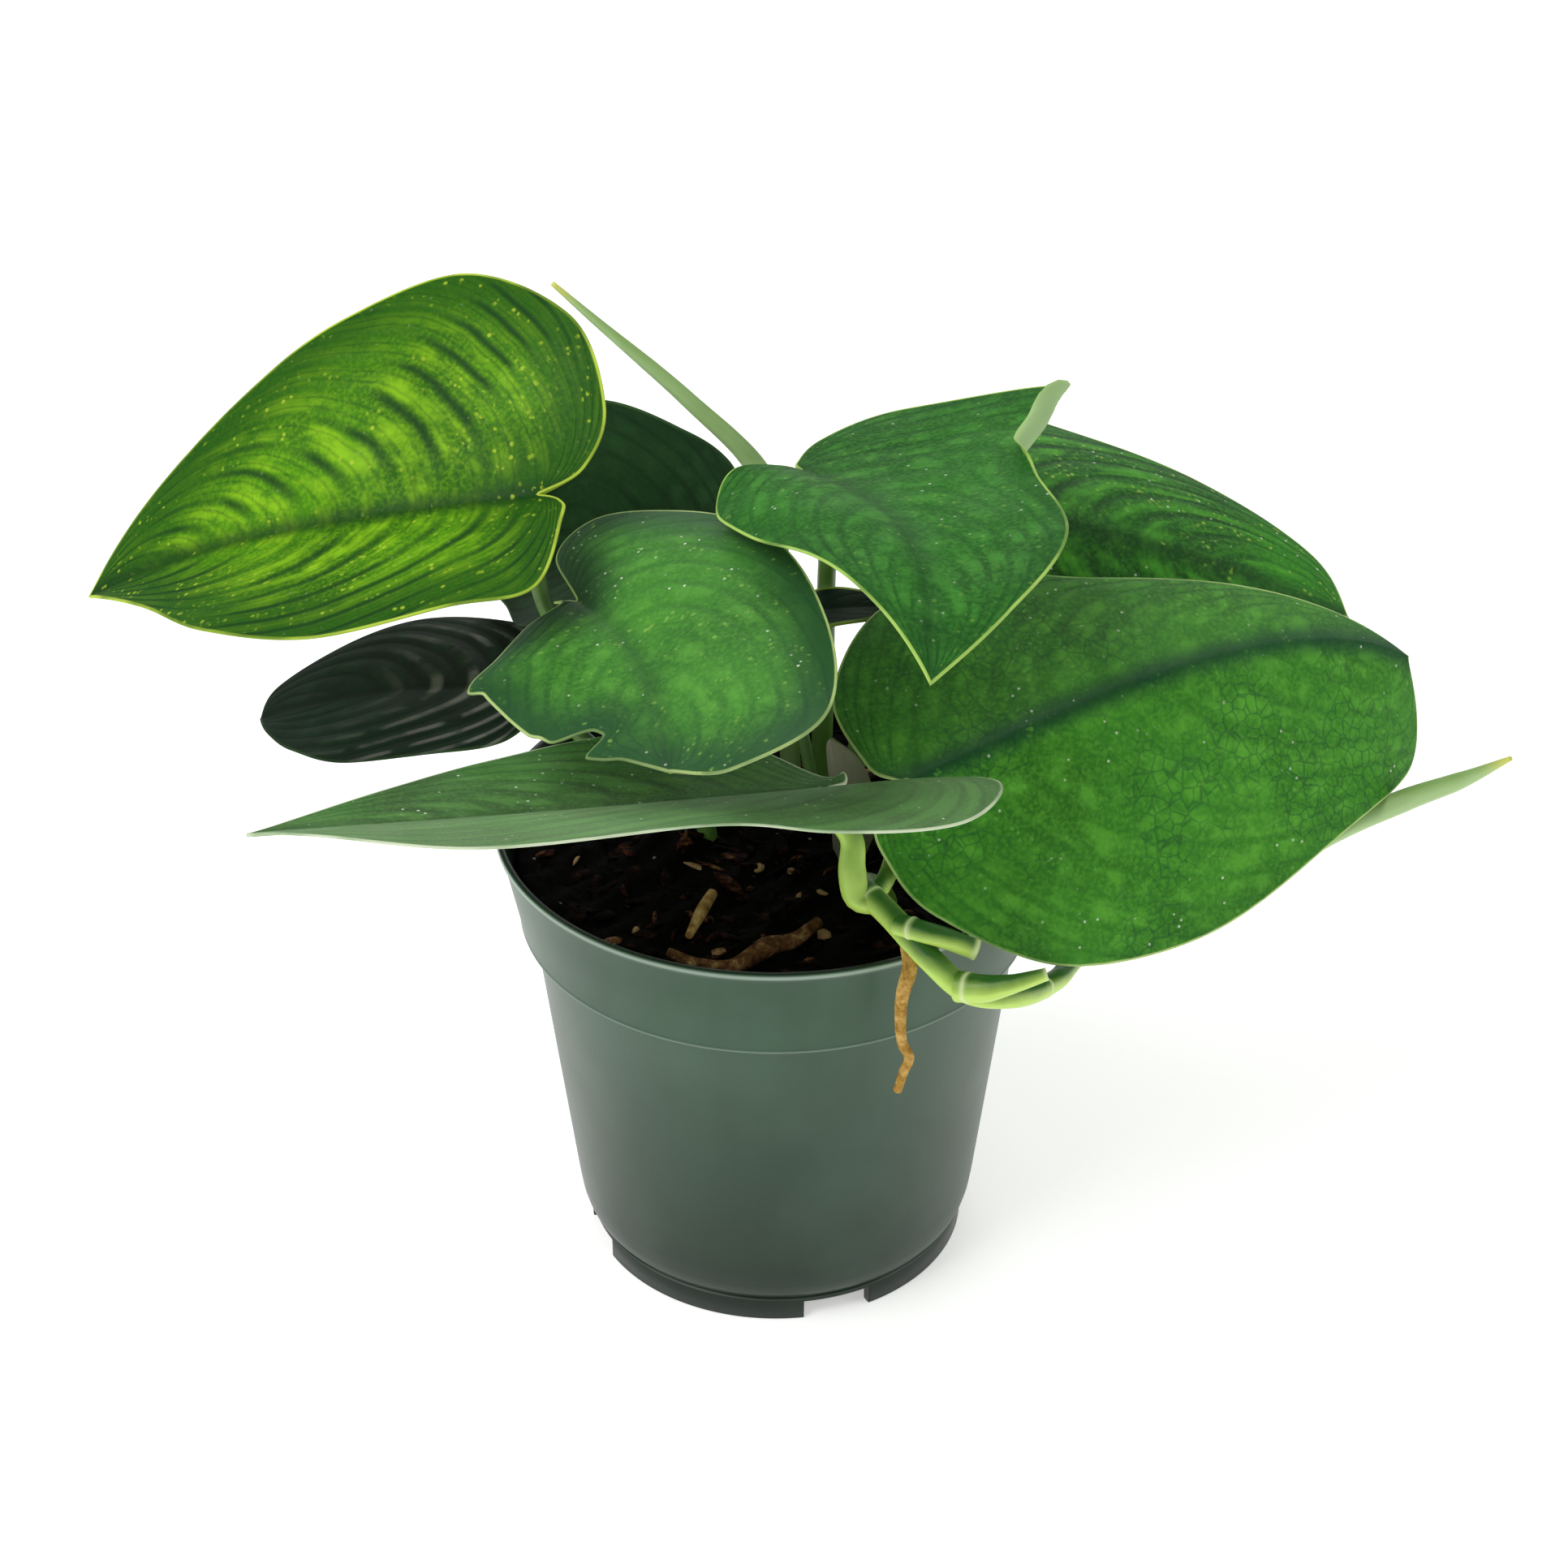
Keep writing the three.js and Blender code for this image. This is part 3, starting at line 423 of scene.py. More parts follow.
one = np.concatenate([grid_faces(SPLINTER_RINGS, SPLINTER_SIDES, closed=True),
                      [first_end[::-1], first_end + corners - SPLINTER_SIDES]])
splinter_faces = (one + corners * np.arange(SPLINTERS)[:, None, None]).reshape(-1, 4)
bark = build_piece("mix_bark_splinters", splinter_points.reshape(-1, 3), splinter_faces,
                   damp_bark("composted fir bark", BARK_COLOURS, 5.0),
                   values={"tone": splinter_tones})
for piece in (mix, bark):
    stands_for(piece, "potting_mix")

# The upper left leaf and its stalk. A thick, leathery heart-shaped blade in full light, grown in
# one piece with a round, juicy stalk: green between dark arching veins, painted a bright lime as
# light shining through it, with a yellow margin.
RAYS = np.radians([10, 25, 45, 70, 100, 130, 155])
BLADE = 0.7
MARGIN_THINNING = 0.45
BRIM = 0.12
LOBE_SHARE = 0.3
RIB_SPACING = 1.2
PLACES = 150
OUTS = 34
MARGIN_POINTS = 700
VEIN_SWEEP = 0.36
VEIN_ARCH = 1.8
STEM_SIDES = 20
CURVE_STEPS = 40
END_RING = 0.75
FRECKLE_MM = 1.6
# up is painted shade on the stalks' tops, down a painted glow of light through their undersides,
# pale the joints.
SHADED_STALK = {"up": "#2d4a28", "down": "#6d9448", "pale": "#9fb87a"}
DUST_COLOUR = "#d5dfcb"
STREAK_SIZE = (0.008, 0.014, 0.05)  # m per side vein, from rib to margin, and across both halves


def rib_angles(leaf, along):
    """Heading and pitch of the midrib at a distance: heading + swing*s, and
    rise - droop0*s - droop1*s*|s|/length."""
    steady, growing = leaf["droop"]
    heading = np.radians(leaf["heading"] + leaf["swing"] * along)
    pitch = leaf["rise"] - steady * along - growing * along * np.abs(along) / leaf["length"]
    return heading, np.radians(pitch)


def rib_direction(leaf, along):
    """The midrib's direction (cos p cos h, cos p sin h, sin p) for a heading h and a pitch p."""
    heading, pitch = rib_angles(leaf, along)
    return np.stack([np.cos(pitch) * np.cos(heading), np.cos(pitch) * np.sin(heading),
                     np.sin(pitch)], -1)


def rib_point(leaf, along):
    """Where the midrib is at a distance from the stalk: its direction summed in 24 short steps."""
    steps = 24
    middle = (np.arange(steps) + 0.5) / steps
    directions = rib_direction(leaf, along[..., None] * middle)
    return np.array(leaf["at"]) + directions.sum(-2) * (along / steps)[..., None]


def blade_frame(leaf, along):
    """The blade's sideways and upward directions at a place on the midrib, turned by the roll."""
    heading, _ = rib_angles(leaf, along)
    level = np.stack([-np.sin(heading), np.cos(heading), 0 * heading], -1)
    up = np.cross(rib_direction(leaf, along), level)
    roll = np.radians(leaf["roll"])
    return (level * np.cos(roll) + up * np.sin(roll), up * np.cos(roll) - level * np.sin(roll))


def arc(slope, bend, length):
    """Distance outwards and upwards at the end of an arc that starts at a slope, and its slope
    there: slope + bend*length."""
    k = np.where(np.abs(bend) < 1e-6, 1e-6, bend)
    return ((np.sin(slope + k * length) - np.sin(slope)) / k,
            (np.cos(slope) - np.cos(slope + k * length)) / k, slope + k * length)


def margin_of(leaf, half, place):
    """The flat outline of one half: a uniform Catmull-Rom curve from the stalk, through the reach
    along each ray, to the tip."""
    reach = np.array(leaf[half])[::-1, None]
    corners = np.stack([np.cos(RAYS[::-1]), np.sin(RAYS[::-1])], -1) * reach
    p = np.concatenate([[[0, 0]], corners, [[leaf["length"], 0]]])
    index = np.minimum((place * (len(p) - 1)).astype(int), len(p) - 2)
    t = (place * (len(p) - 1) - index)[..., None]
    a, b = p[np.maximum(index - 1, 0)], p[index]
    c, d = p[index + 1], p[np.minimum(index + 2, len(p) - 1)]
    leave, arrive = (c - a) / 2, (d - b) / 2
    cubic = (2 * b - 2 * c + leave + arrive) * t**3 + (3 * c - 3 * b - 2 * leave - arrive) * t**2
    return cubic + leave * t + b


def bump(value, centre, width):
    """1 at the centre, with steep sides: exp(-((value - centre) / width)^4)."""
    return np.exp(-(((value - centre) / width) ** 4))


def blade_points(leaf, half, place, out):
    """A point of the blade's middle and its normal: the flat point rib + (edge - rib)*out is bent
    along the midrib, then across it as an arc, with waves along the margin and quilting between
    the side veins, where veins*(place - sweep*out^arch) is whole. Also the flat point."""
    spread = np.maximum(0, (place - LOBE_SHARE) / (1 - LOBE_SHARE)) ** RIB_SPACING
    start = leaf["length"] * spread
    edge = margin_of(leaf, half, place)
    reach = out
    for nicked, at, width, depth in leaf.get("nicks", ()):
        if nicked == half:
            reach = reach * (1 - depth * bump(place, at, width))
    along = start + (edge[..., 0] - start) * reach
    across = edge[..., 1] * reach
    index = 0 if half == "left" else 1
    bend = np.radians(leaf["cup"][index])
    curl = leaf.get("curl")
    flat_part = edge[..., 1] * curl["beyond"] if curl and curl["half"] == half else np.inf
    outwards, upwards, slope = arc(np.radians(leaf["fold"][index]), bend,
                                   np.minimum(across, flat_part))
    if curl and curl["half"] == half:
        tighter = np.radians(curl["bend"]) * bump(place, curl["at"], curl["width"])
        more_out, more_up, slope = arc(slope, bend + tighter, np.maximum(across - flat_part, 0))
        outwards, upwards = outwards + more_out, upwards + more_up
    height, waves, phase = leaf["ripple"]
    wave = np.sin(2 * np.pi * (waves * place + phase)) * np.sin(np.pi * place)
    veins = leaf["veins"] * (place - VEIN_SWEEP * out**VEIN_ARCH)
    quilt = leaf["quilt"] * np.abs(np.sin(np.pi * veins)) * np.sin(np.pi * out)
    upwards = upwards + height * wave * out**2 + quilt * np.sin(np.pi * place)
    side, normal = blade_frame(leaf, along)
    if half == "right":
        side = -side
    lean = (slope * np.minimum(1, across / 2))[..., None]
    point = rib_point(leaf, along) + side * outwards[..., None] + normal * upwards[..., None]
    return point, normal * np.cos(lean) - side * np.sin(lean), np.stack([along, across], -1)


def both_faces(rows, brim):
    """Rows of the upper face, then the brim, then the rows of the lower face back to the rib."""
    return np.concatenate([rows, brim, rows[:, ::-1]], 1)


def leaf_piece(name, leaf, material):
    """The blade as a closed skin: both faces of both halves, and a rounded margin between them.
    Rows of points lie closer at the margin, at out = sin(pi/2*t). It carries the map (place, side
    and out) and the distances to the margin and the midrib."""
    place, even = np.meshgrid(np.linspace(0, 1, PLACES), np.linspace(0, 1, OUTS), indexing="ij")
    out = np.sin(np.pi / 2 * even)
    fine = np.linspace(0, 1, MARGIN_POINTS)
    blocks, faces, maps, margins, ribs, unders, first = [], [], [], [], [], [], 0
    for half, sign in (("left", 1), ("right", -1)):
        middle, normal, flat = blade_points(leaf, half, place, out)
        _, _, edge = blade_points(leaf, half, fine, np.ones(MARGIN_POINTS))
        to_edge = np.linalg.norm(flat[:, :, None] - edge, axis=-1).min(-1)
        thick = BLADE * (1 - MARGIN_THINNING * out**8)
        top, bottom = middle + normal * thick[..., None] / 2, middle - normal * thick[..., None] / 2
        outward = middle[:, -1] - middle[:, -3]
        outward /= np.linalg.norm(outward, axis=-1, keepdims=True) + 1e-9
        brim = (middle[:, -1] + outward * BRIM)[:, None]
        sheet = np.concatenate([top, brim, bottom[:, ::-1]], 1)
        columns = sheet.shape[1]
        wide = both_faces(out, out[:, -1:])
        long = both_faces(place, place[:, -1:])
        blocks.append(sheet.reshape(-1, 3))
        faces.append(grid_faces(PLACES, columns, first, flipped=sign > 0))
        maps.append(np.stack([long, 0.5 + 0.5 * sign * wide], -1).reshape(-1, 2))
        margins.append(both_faces(to_edge, 0 * to_edge[:, :1]))
        ribs.append(np.abs(both_faces(flat[..., 1], flat[:, -1:, 1])))
        unders.append(np.concatenate([0 * out, 0.5 + 0 * out[:, :1], 1 + 0 * out], 1))
        first += sheet.shape[0] * columns
    values = {"margin_mm": np.concatenate(margins), "rib_mm": np.concatenate(ribs),
              "under": np.concatenate(unders)}
    return build_piece(name, np.concatenate(blocks), np.concatenate(faces), material,
                       {"blade": np.concatenate(maps)}, values)


def satin_blade(name, veins, look):
    """A living blade. Chlorophyll green under a silky skin: dark along the midrib and the side
    veins, lighter in streaks between them, with a net of veinlets, yellow flecks, dust and a clear
    pale margin. Painted shade darkens it towards the margin, a painted sheen greys one half and the
    ridges near the stalk, and the underside is paler and duller."""
    material, tree = new_material(name)
    known = read_surface(tree, "margin_mm", "rib_mm", "under")
    pair = add_node(tree, "UVMap", {}, uv_map="blade").outputs[0]
    known["along"], known["side"], _ = add_node(tree, "SeparateXYZ", {0: pair}).outputs
    # The painted sheen: its colour, and how strongly it shows on the left and on the right half.
    sheen_colour, sheen_left, sheen_right = look["painted_sheen"]
    # out is 0 on the midrib and 1 on the margin. phase is whole on each side vein, and away is 0
    # there and 1 between two of them. A cloud is a noise: its size in mm, its detail, and between
    # which values it fades in.
    clouds = {
        "broad": (30, 2.0, 0.35, 0.65), "cells": (0.8, 4.0, 0.4, 0.66),
        "patches": (22, 3.0, 0.3, 0.6), "netted": (20, 3.0, 0.4, 0.6),
        "some": (1.9, 2.0, 0.46, 0.58), "sheen_patches": (26, 3.0, 0.2, 0.7, 0.5, 1.0),
        "sheen": (8, 3.0, 0.35, 0.6), "frayed": (24, 3.0, 0.38, 0.56, 0.3, 1.0),
        "dusty": (16, 3.0, 0.42, 0.6),
        "rough": (11, 3.0, 0.3, 0.7, look["rough"] - 0.05, look["rough"] + 0.07),
    }
    for key, (size_mm, detail, *ends) in clouds.items():
        add_steps(tree, known, [(key, "noise", "place", 1000 / size_mm, detail),
                                (key, "fade", key, *ends)])
    add_steps(tree, known, [
        ("out", "SUBTRACT", "side", 0.5), ("out", "ABSOLUTE", "out", 0.0),
        ("out", "MULTIPLY", "out", 2.0), ("off_rib", "fade", "out", 0.04, 0.3),
        ("drift", "noise", "place", 1000 / 14, 3.0), ("drift", "SUBTRACT", "drift", 0.5),
        ("drift", "MULTIPLY", "drift", look["wander"]), ("phase", "POWER", "out", VEIN_ARCH),
        ("phase", "MULTIPLY", "phase", VEIN_SWEEP), ("phase", "SUBTRACT", "along", "phase"),
        ("phase", "MULTIPLY", "phase", float(veins)), ("phase", "ADD", "phase", "drift"),
        ("away", "PINGPONG", "phase", 0.5), ("away", "MULTIPLY", "away", 2.0),
        ("between", "fade", "away", 0.1, 0.6), ("clear", "fade", "away", 0.1, 0.5),
        ("ridges", "fade", "away", 0.55, 0.9), ("bands", "fade", "away", look["band_width"], 0.0),
        ("thirds", "MULTIPLY", "phase", 3.0), ("thirds", "PINGPONG", "thirds", 0.5),
        ("thirds", "MULTIPLY", "thirds", 2.0), ("thirds", "fade", "thirds", 0.45, 0.0),
        ("x", "MULTIPLY", "phase", STREAK_SIZE[0]), ("y", "MULTIPLY", "out", STREAK_SIZE[1]),
        ("z", "MULTIPLY", "side", STREAK_SIZE[2]), ("lengthwise", "join", "x", "y", "z"),
        ("streaks", "noise", "lengthwise", 1000 / 5, 3.0),
        ("streaks", "MULTIPLY", "streaks", look["streaky"]),
        ("mottles", "noise", "place", 1000 / 4.5, 5.0),
        ("mottles", "MULTIPLY", "mottles", 1 - look["streaky"]),
        ("streaks", "ADD", "streaks", "mottles"), ("streaks", "fade", "streaks", 0.42, 0.66),
        ("net", "net", "place", 1000 / look["net_mm"]), ("net", "fade", "net", 0.1, 0.0),
        ("flecks", "spots", "place", 1000 / 1.5), ("flecks", "fade", "flecks", 0.38, 0.2),
        ("rows", "noise", "lengthwise", 1000 / 9, 3.0), ("rows", "fade", "rows", 0.44, 0.6),
        ("painted_sheen", "fade", "side", 0.49, 0.51, sheen_right, sheen_left),
        ("low", "fade", "along", 0.75, 0.4), ("rib", "fade", "rib_mm", look["rib_width"], 0.0),
        # Painted shade that darkens the blade towards its margin.
        ("rim", "fade", "margin_mm", look["rim_mm"], look["rim_mm"] * 0.1),
        ("edge", "fade", "margin_mm", look["margin_mm"], look["margin_mm"] * 0.45),
        ("dust", "spots", "place", 1000 / 2.8), ("dust", "fade", "dust", 0.12, 0.07),
        ("upper", "SUBTRACT", 1.0, "under"),
        ("skin", "noise", "place", 1000 / 0.9, 2.0), ("skin", "MULTIPLY", "skin", 0.3),
        ("groove", "fade", "away", 0.0, 0.35), ("groove", "MULTIPLY", "groove", 0.5),
        ("height", "ADD", "skin", "groove"), ("crease", "fade", "rib_mm", 0.0, 1.6),
        ("crease", "MULTIPLY", "crease", 1.2), ("height", "ADD", "height", "crease"),
    ])
    # Painted light among the layers: the rim colour is painted shade towards the margin, and the
    # two layers in the sheen colour are a painted sheen, in patches over each half and on the
    # ridges near the stalk.
    colour = add_layers(tree, known, linear(look["shade"]), [
        (look["body"], "broad"),
        (look["light"], "streaks", "between", look["lit"]),
        (look["light"], "cells", look["cells"]),
        (look["rim"], "rim", look["rim_amount"]),
        (look["vein"], "bands", "patches", "off_rib", look["band"]),
        (look["vein"], "thirds", "clear", look["band"] * 0.35),
        (look["vein"], "rib", look["rib"]),
        (look["vein"], "net", "netted", look["net"]),
        (look["fleck"], "flecks", "some", "rows", "clear", look["flecks"]),
        (sheen_colour, "painted_sheen", "sheen_patches"),
        (sheen_colour, "ridges", "low", "sheen", look["ridges"]),
        (look["back"], "under", look["back_amount"]),
        (look["margin"], "edge", "frayed", look["margin_amount"]),
        (DUST_COLOUR, "dust", "dusty", "upper", look["dust"]),
    ])
    return finished(material, known["height"], look["relief"], 0.0004,
                    {"Base Color": colour, "Roughness": known["rough"], "IOR": 1.42,
                     "Specular IOR Level": 0.14, "Subsurface Weight": 0.06,
                     "Subsurface Radius": (0.0006, 0.0012, 0.0003), "Subsurface Scale": 0.5})


def smooth_route(route, steps):
    """A centripetal Catmull-Rom curve through the points of a route, sampled evenly by length."""
    p = np.array(route, float)
    p = np.concatenate([[2 * p[0] - p[1]], p, [2 * p[-1] - p[-2]]])
    gap = np.linalg.norm(np.diff(p, axis=0), axis=1) ** 0.5
    a, b, c, d = p[:-3], p[1:-2], p[2:-1], p[3:]
    g0, g1, g2 = gap[:-2, None], gap[1:-1, None], gap[2:, None]
    leave = ((b - a) / g0 - (c - a) / (g0 + g1) + (c - b) / g1) * g1
    arrive = ((c - b) / g1 - (d - b) / (g1 + g2) + (d - c) / g2) * g1
    t = np.linspace(0, 1, CURVE_STEPS, endpoint=False)[None, :, None]
    b, c, leave, arrive = b[:, None], c[:, None], leave[:, None], arrive[:, None]
    fine = b + leave * t + (3 * (c - b) - 2 * leave - arrive) * t**2
    fine = (fine + (2 * (b - c) + leave + arrive) * t**3).reshape(-1, 3)
    fine = np.concatenate([fine, p[-2:-1]])
    reach = np.concatenate([[0], np.cumsum(np.linalg.norm(np.diff(fine, axis=0), axis=1))])
    even = np.linspace(0, reach[-1], steps)
    return np.stack([np.interp(even, reach, fine[:, k]) for k in range(3)], -1)


def stem_rings(route, radii, per_mm=1.2, rings=(), cut=0.0):
    """Rings round a smooth route: r(s, a) = radius(s) * (1 + 0.02 cos 5a), swollen by a Gaussian
    at each ring (share of the length, swelling, half width in mm). The first and last rings shrink
    to a point to close the ends. Also how pale each point is: the rings, and the end by cut."""
    length = np.linalg.norm(np.diff(np.array(route, float), axis=0), axis=1).sum()
    steps = max(8, int(length * per_mm))
    centre = smooth_route(route, steps)
    forward = np.gradient(centre, axis=0)
    forward /= np.linalg.norm(forward, axis=1, keepdims=True)
    aside = np.linalg.svd(forward)[2][-1]
    right = np.cross(forward, aside)
    right /= np.linalg.norm(right, axis=1, keepdims=True)
    up = np.cross(right, forward)
    share = np.linspace(0, 1, steps)
    thick = np.interp(share, np.linspace(0, 1, len(radii)), radii)
    pale = 0 * share
    for where, swell, width in rings:
        near = np.exp(-(((share - where) * length / width) ** 2))
        thick, pale = thick + swell * near, np.maximum(pale, near)
    angle = np.linspace(0, 2 * np.pi, STEM_SIDES, endpoint=False)
    ring = thick[:, None] * (1 + 0.02 * np.cos(5 * angle))
    points = (centre[:, None] + right[:, None] * (ring * np.cos(angle))[..., None]
              + up[:, None] * (ring * np.sin(angle))[..., None])
    first, last = points[:1], points[-1:]
    ends = [centre[0] + 0 * first, centre[0] + END_RING * (first - centre[0]), points,
            centre[-1] + END_RING * (last - centre[-1]), centre[-1] + 0 * last]
    pale = np.concatenate([[0, 0], pale, [cut, cut]])
    return np.concatenate(ends), np.repeat(pale, STEM_SIDES)


def stem_piece(name, stems, material, values=None):
    """One piece from several stems, each a block of rings."""
    blocks, faces, pales, first = [], [], [], 0
    for points, pale in stems:
        rows, columns, _ = points.shape
        blocks.append(points.reshape(-1, 3))
        faces.append(grid_faces(rows, columns, first, closed=True, flipped=True))
        pales.append(pale)
        first += rows * columns
    return build_piece(name, np.concatenate(blocks), np.concatenate(faces), material,
                       values={"pale": np.concatenate(pales), **(values or {})})


def juicy_stem(name, colours):
    """Living stem: satin skin with painted light, darker as shade where it faces the sky and a
    clear yellow-green below as light shining through, with faint streaks, pale rings at the joints
    and small corky freckles."""
    material, tree = new_material(name)
    known = read_surface(tree, "pale")
    # Painted light: the side that faces the sky is painted darker, as shade, and the underside a
    # clear yellow-green, as light shining through.
    facing = add_node(tree, "NewGeometry", {}).outputs["Normal"]
    known["upwards"] = add_node(tree, "SeparateXYZ", {0: facing}).outputs[2]
    add_steps(tree, known, [
        ("uneven", "noise", "place", 70.0, 4.0), ("uneven", "span", "uneven", 0.3, 0.7, -0.3, 0.3),
        ("shaded_top", "ADD", "upwards", "uneven"), ("shaded_top", "span", "shaded_top", -0.05, 0.85),
        ("freckles", "noise", "place", 1000 / FRECKLE_MM, 3.0),
    ])
    colour = add_layers(tree, known, linear(colours["down"]),
                        [(colours["up"], "shaded_top"), (colours["pale"], "pale")])
    return finished(material, known["freckles"], 0.2, 0.0003,
                    {"Base Color": colour, "Roughness": 0.4, "Specular IOR Level": 0.4,
                     "Subsurface Weight": 0.15, "Subsurface Radius": (0.002, 0.003, 0.001),
                     "Subsurface Scale": 0.5})


def under_blade(leaf, radius):
    """The point where a stalk of this radius meets the underside of the midrib."""
    along = np.array(2.0)
    _, normal = blade_frame(leaf, along)
    return tuple(rib_point(leaf, along) - normal * (BLADE / 2 + radius * 0.9))


def grow_blade(node, leaf, look):
    """The blade that stands for a CAD leaf, in a material of its own."""
    material = satin_blade(node.replace("_", " "), leaf["veins"], look)
    stands_for(leaf_piece(node + "_blade", leaf, material), node)


def grow_stalk(node, leaf, route, radii):
    """The stalk that stands for a CAD stalk: along its route, then on to the leaf's underside."""
    rings = stem_rings([*route, under_blade(leaf, radii[-1])], radii)
    stands_for(stem_piece(node + "_skin", [rings], shaded_stalk), node)


JADE_LOOK = {
    "shade": "#1c5214", "body": "#296b1c", "light": "#419128", "lit": 0.6, "vein": "#10351a",
    "wander": 0.35, "band": 0.25, "band_width": 0.5, "rib": 0.4, "rib_width": 4.0, "net": 0.15,
    "net_mm": 2.6, "rim": "#18471d", "rim_mm": 8.0, "rim_amount": 0.35, "fleck": "#86b648",
    "flecks": 0.35, "painted_sheen": ("#8fa890", 0.03, 0.03), "back": "#86a878", "back_amount": 0.85,
    "margin": "#c3d98a", "margin_mm": 0.5, "margin_amount": 0.8, "dust": 0.7, "rough": 0.5,
    "relief": 0.25, "streaky": 0.2, "cells": 0.35, "ridges": 0.0,
}
shaded_stalk = juicy_stem("leaf stalk in shade", SHADED_STALK)
upper_left_leaf = {
    "at": (-41.6, -0.4, 158.8), "heading": 168.8, "rise": -12.6, "roll": -29.5,
    "droop": (0.07, 0.16), "swing": -0.13, "fold": (18.4, 22.7), "cup": (0, -0.49),
    "length": 99.8, "left": (78.4, 63.4, 48.4, 30.6, 26.9, 8.9, 4.8),
    "right": (82.8, 67.2, 57, 49.2, 33.7, 19.8, 9.4),
    "ripple": (0.5, 3, 0.2), "veins": 15, "quilt": 0.2,
}
# Painted light: the leaf's greens are painted bright lime, as light shining through the blade from
# behind.
upper_left_look = JADE_LOOK | {
    "shade": "#326a02", "body": "#4a8a04", "light": "#8cc216", "lit": 0.85, "vein": "#103a10",
    "band": 0.9, "rib": 0.8, "net": 0.25, "net_mm": 2.0,
    "rim": "#1c5206", "rim_mm": 20.0, "rim_amount": 0.85, "fleck": "#b8d23a", "flecks": 0.6,
    "margin": "#c4dc4c", "margin_mm": 0.6, "dust": 0.1, "back": "#8fb254",
    "painted_sheen": ("#8fa890", 0.0, 0.0), "streaky": 0.7, "cells": 0.3,
}
grow_blade("leaf_upper_left", upper_left_leaf, upper_left_look)
grow_stalk("stalk_upper_left", upper_left_leaf,
           [(-14, 10, 77), (-17, 6, 92), (-30, 1, 116), (-41.5, -1.5, 138)], (2.0, 1.4))

# The centre leaf and its stalk. A blade that leans out over the middle of the pot, with a notch
# torn in its right half: mid green, with painted shade towards the margin, a little dusty.
centre_leaf = {
    "at": (-34.7, -11.4, 143.4), "heading": -57.9, "rise": 11.8, "roll": 22.9,
    "droop": (0.56, -0.27), "swing": -0.49, "fold": (14.3, 10.6), "cup": (-1.03, -0.34),
    "length": 60.6, "left": (68.8, 66, 45.5, 33.5, 25, 22.6, 16.5),
    "right": (53.7, 47, 35.2, 25.5, 11.5, 3.3, 5.3), "ripple": (0.4, 3, 0.6),
    "nicks": (("right", 0.793, 0.034, 0.35), ("right", 0.497, 0.039, -0.11),
              ("right", 0.733, 0.02, 0.04), ("right", 0.854, 0.031, -0.12)),
    "veins": 13, "quilt": 0.12,
}
centre_look = JADE_LOOK | {
    "shade": "#2f6e1c", "body": "#3e8524", "light": "#5da337", "rim": "#1b4626", "rim_mm": 13.0,
    "rim_amount": 0.85, "vein": "#173b22", "fleck": "#9bc254", "flecks": 0.45,
    "painted_sheen": ("#8fa890", 0.05, 0.03), "dust": 0.9,
}
grow_blade("leaf_centre", centre_leaf, centre_look)
grow_stalk("stalk_centre", centre_leaf,
           [(-12, 3, 77), (-14, 3, 92), (-22, -1, 118), (-30, -6, 136)], (1.9, 1.4))

# The top leaf and its stalk. The blade arches over the middle and hangs towards the front; part of
# its left margin curls up and over like a spout, which shows the pale underside.
top_leaf = {
    "at": (4.7, 7.9, 159.2), "heading": -56.2, "rise": 12.5, "roll": -8,
    "droop": (-0.17, 0.63), "swing": -0.46, "fold": (5.9, 14.6), "cup": (0.57, -2.47),
    "length": 85.3, "left": (71.7, 59.6, 41.7, 49.6, 29.9, 15.5, 5.5),
    "right": (65.9, 48.2, 33, 24.3, 16.2, 10.7, 5.7), "ripple": (0.5, 4, 0.1),
    "curl": {"half": "left", "at": 0.571, "width": 0.053, "beyond": 0.847, "bend": 33},
    "veins": 13, "quilt": 0.15,
}
top_look = JADE_LOOK | {
    "shade": "#1a5012", "body": "#246419", "light": "#4a9534", "vein": "#153d1c", "back": "#9dbb82",
    "painted_sheen": ("#8fa890", 0.0, 0.0), "fleck": "#8cb84c", "flecks": 0.3, "back_amount": 0.95,
    "margin": "#b5d86a", "rough": 0.64,
}
grow_blade("leaf_top", top_leaf, top_look)
grow_stalk("stalk_top", top_leaf,
           [(8, 19, 77), (9, 21, 100), (9.4, 23.2, 124), (9.4, 21.5, 139)], (2.1, 1.5))

# The back right leaf and its stalk. A long blade that reaches out to the right behind the others,
# deep green with dark bands along the side veins and yellowish mottles between them.
back_right_leaf = {
    "at": (27.6, 19.9, 145.5), "heading": 6.2, "rise": -8.2, "roll": 14.6,
    "droop": (0.23, 0.03), "swing": 0, "fold": (4.2, -32), "cup": (-0.65, -0.9),
    "length": 86.8, "left": (80.9, 62.5, 45, 40.3, 29, 19, 9),
    "right": (68, 52, 38, 27, 20, 14, 8), "ripple": (0.5, 3, 0.4), "veins": 15, "quilt": 0.2,
}
back_right_look = JADE_LOOK | {
    "shade": "#1b5512", "body": "#2d7b1a", "light": "#52a62c", "lit": 0.8, "vein": "#0f3016",
    "band": 0.6, "rib": 0.6, "fleck": "#9cc04a", "flecks": 0.75, "rim": "#17451a",
    "streaky": 0.7,
}
grow_blade("leaf_back_right", back_right_leaf, back_right_look)
grow_stalk("stalk_back_right", back_right_leaf,
           [(14, 8, 77), (15, 11, 95), (19, 20, 122), (23, 22, 138)], (2.0, 1.4))

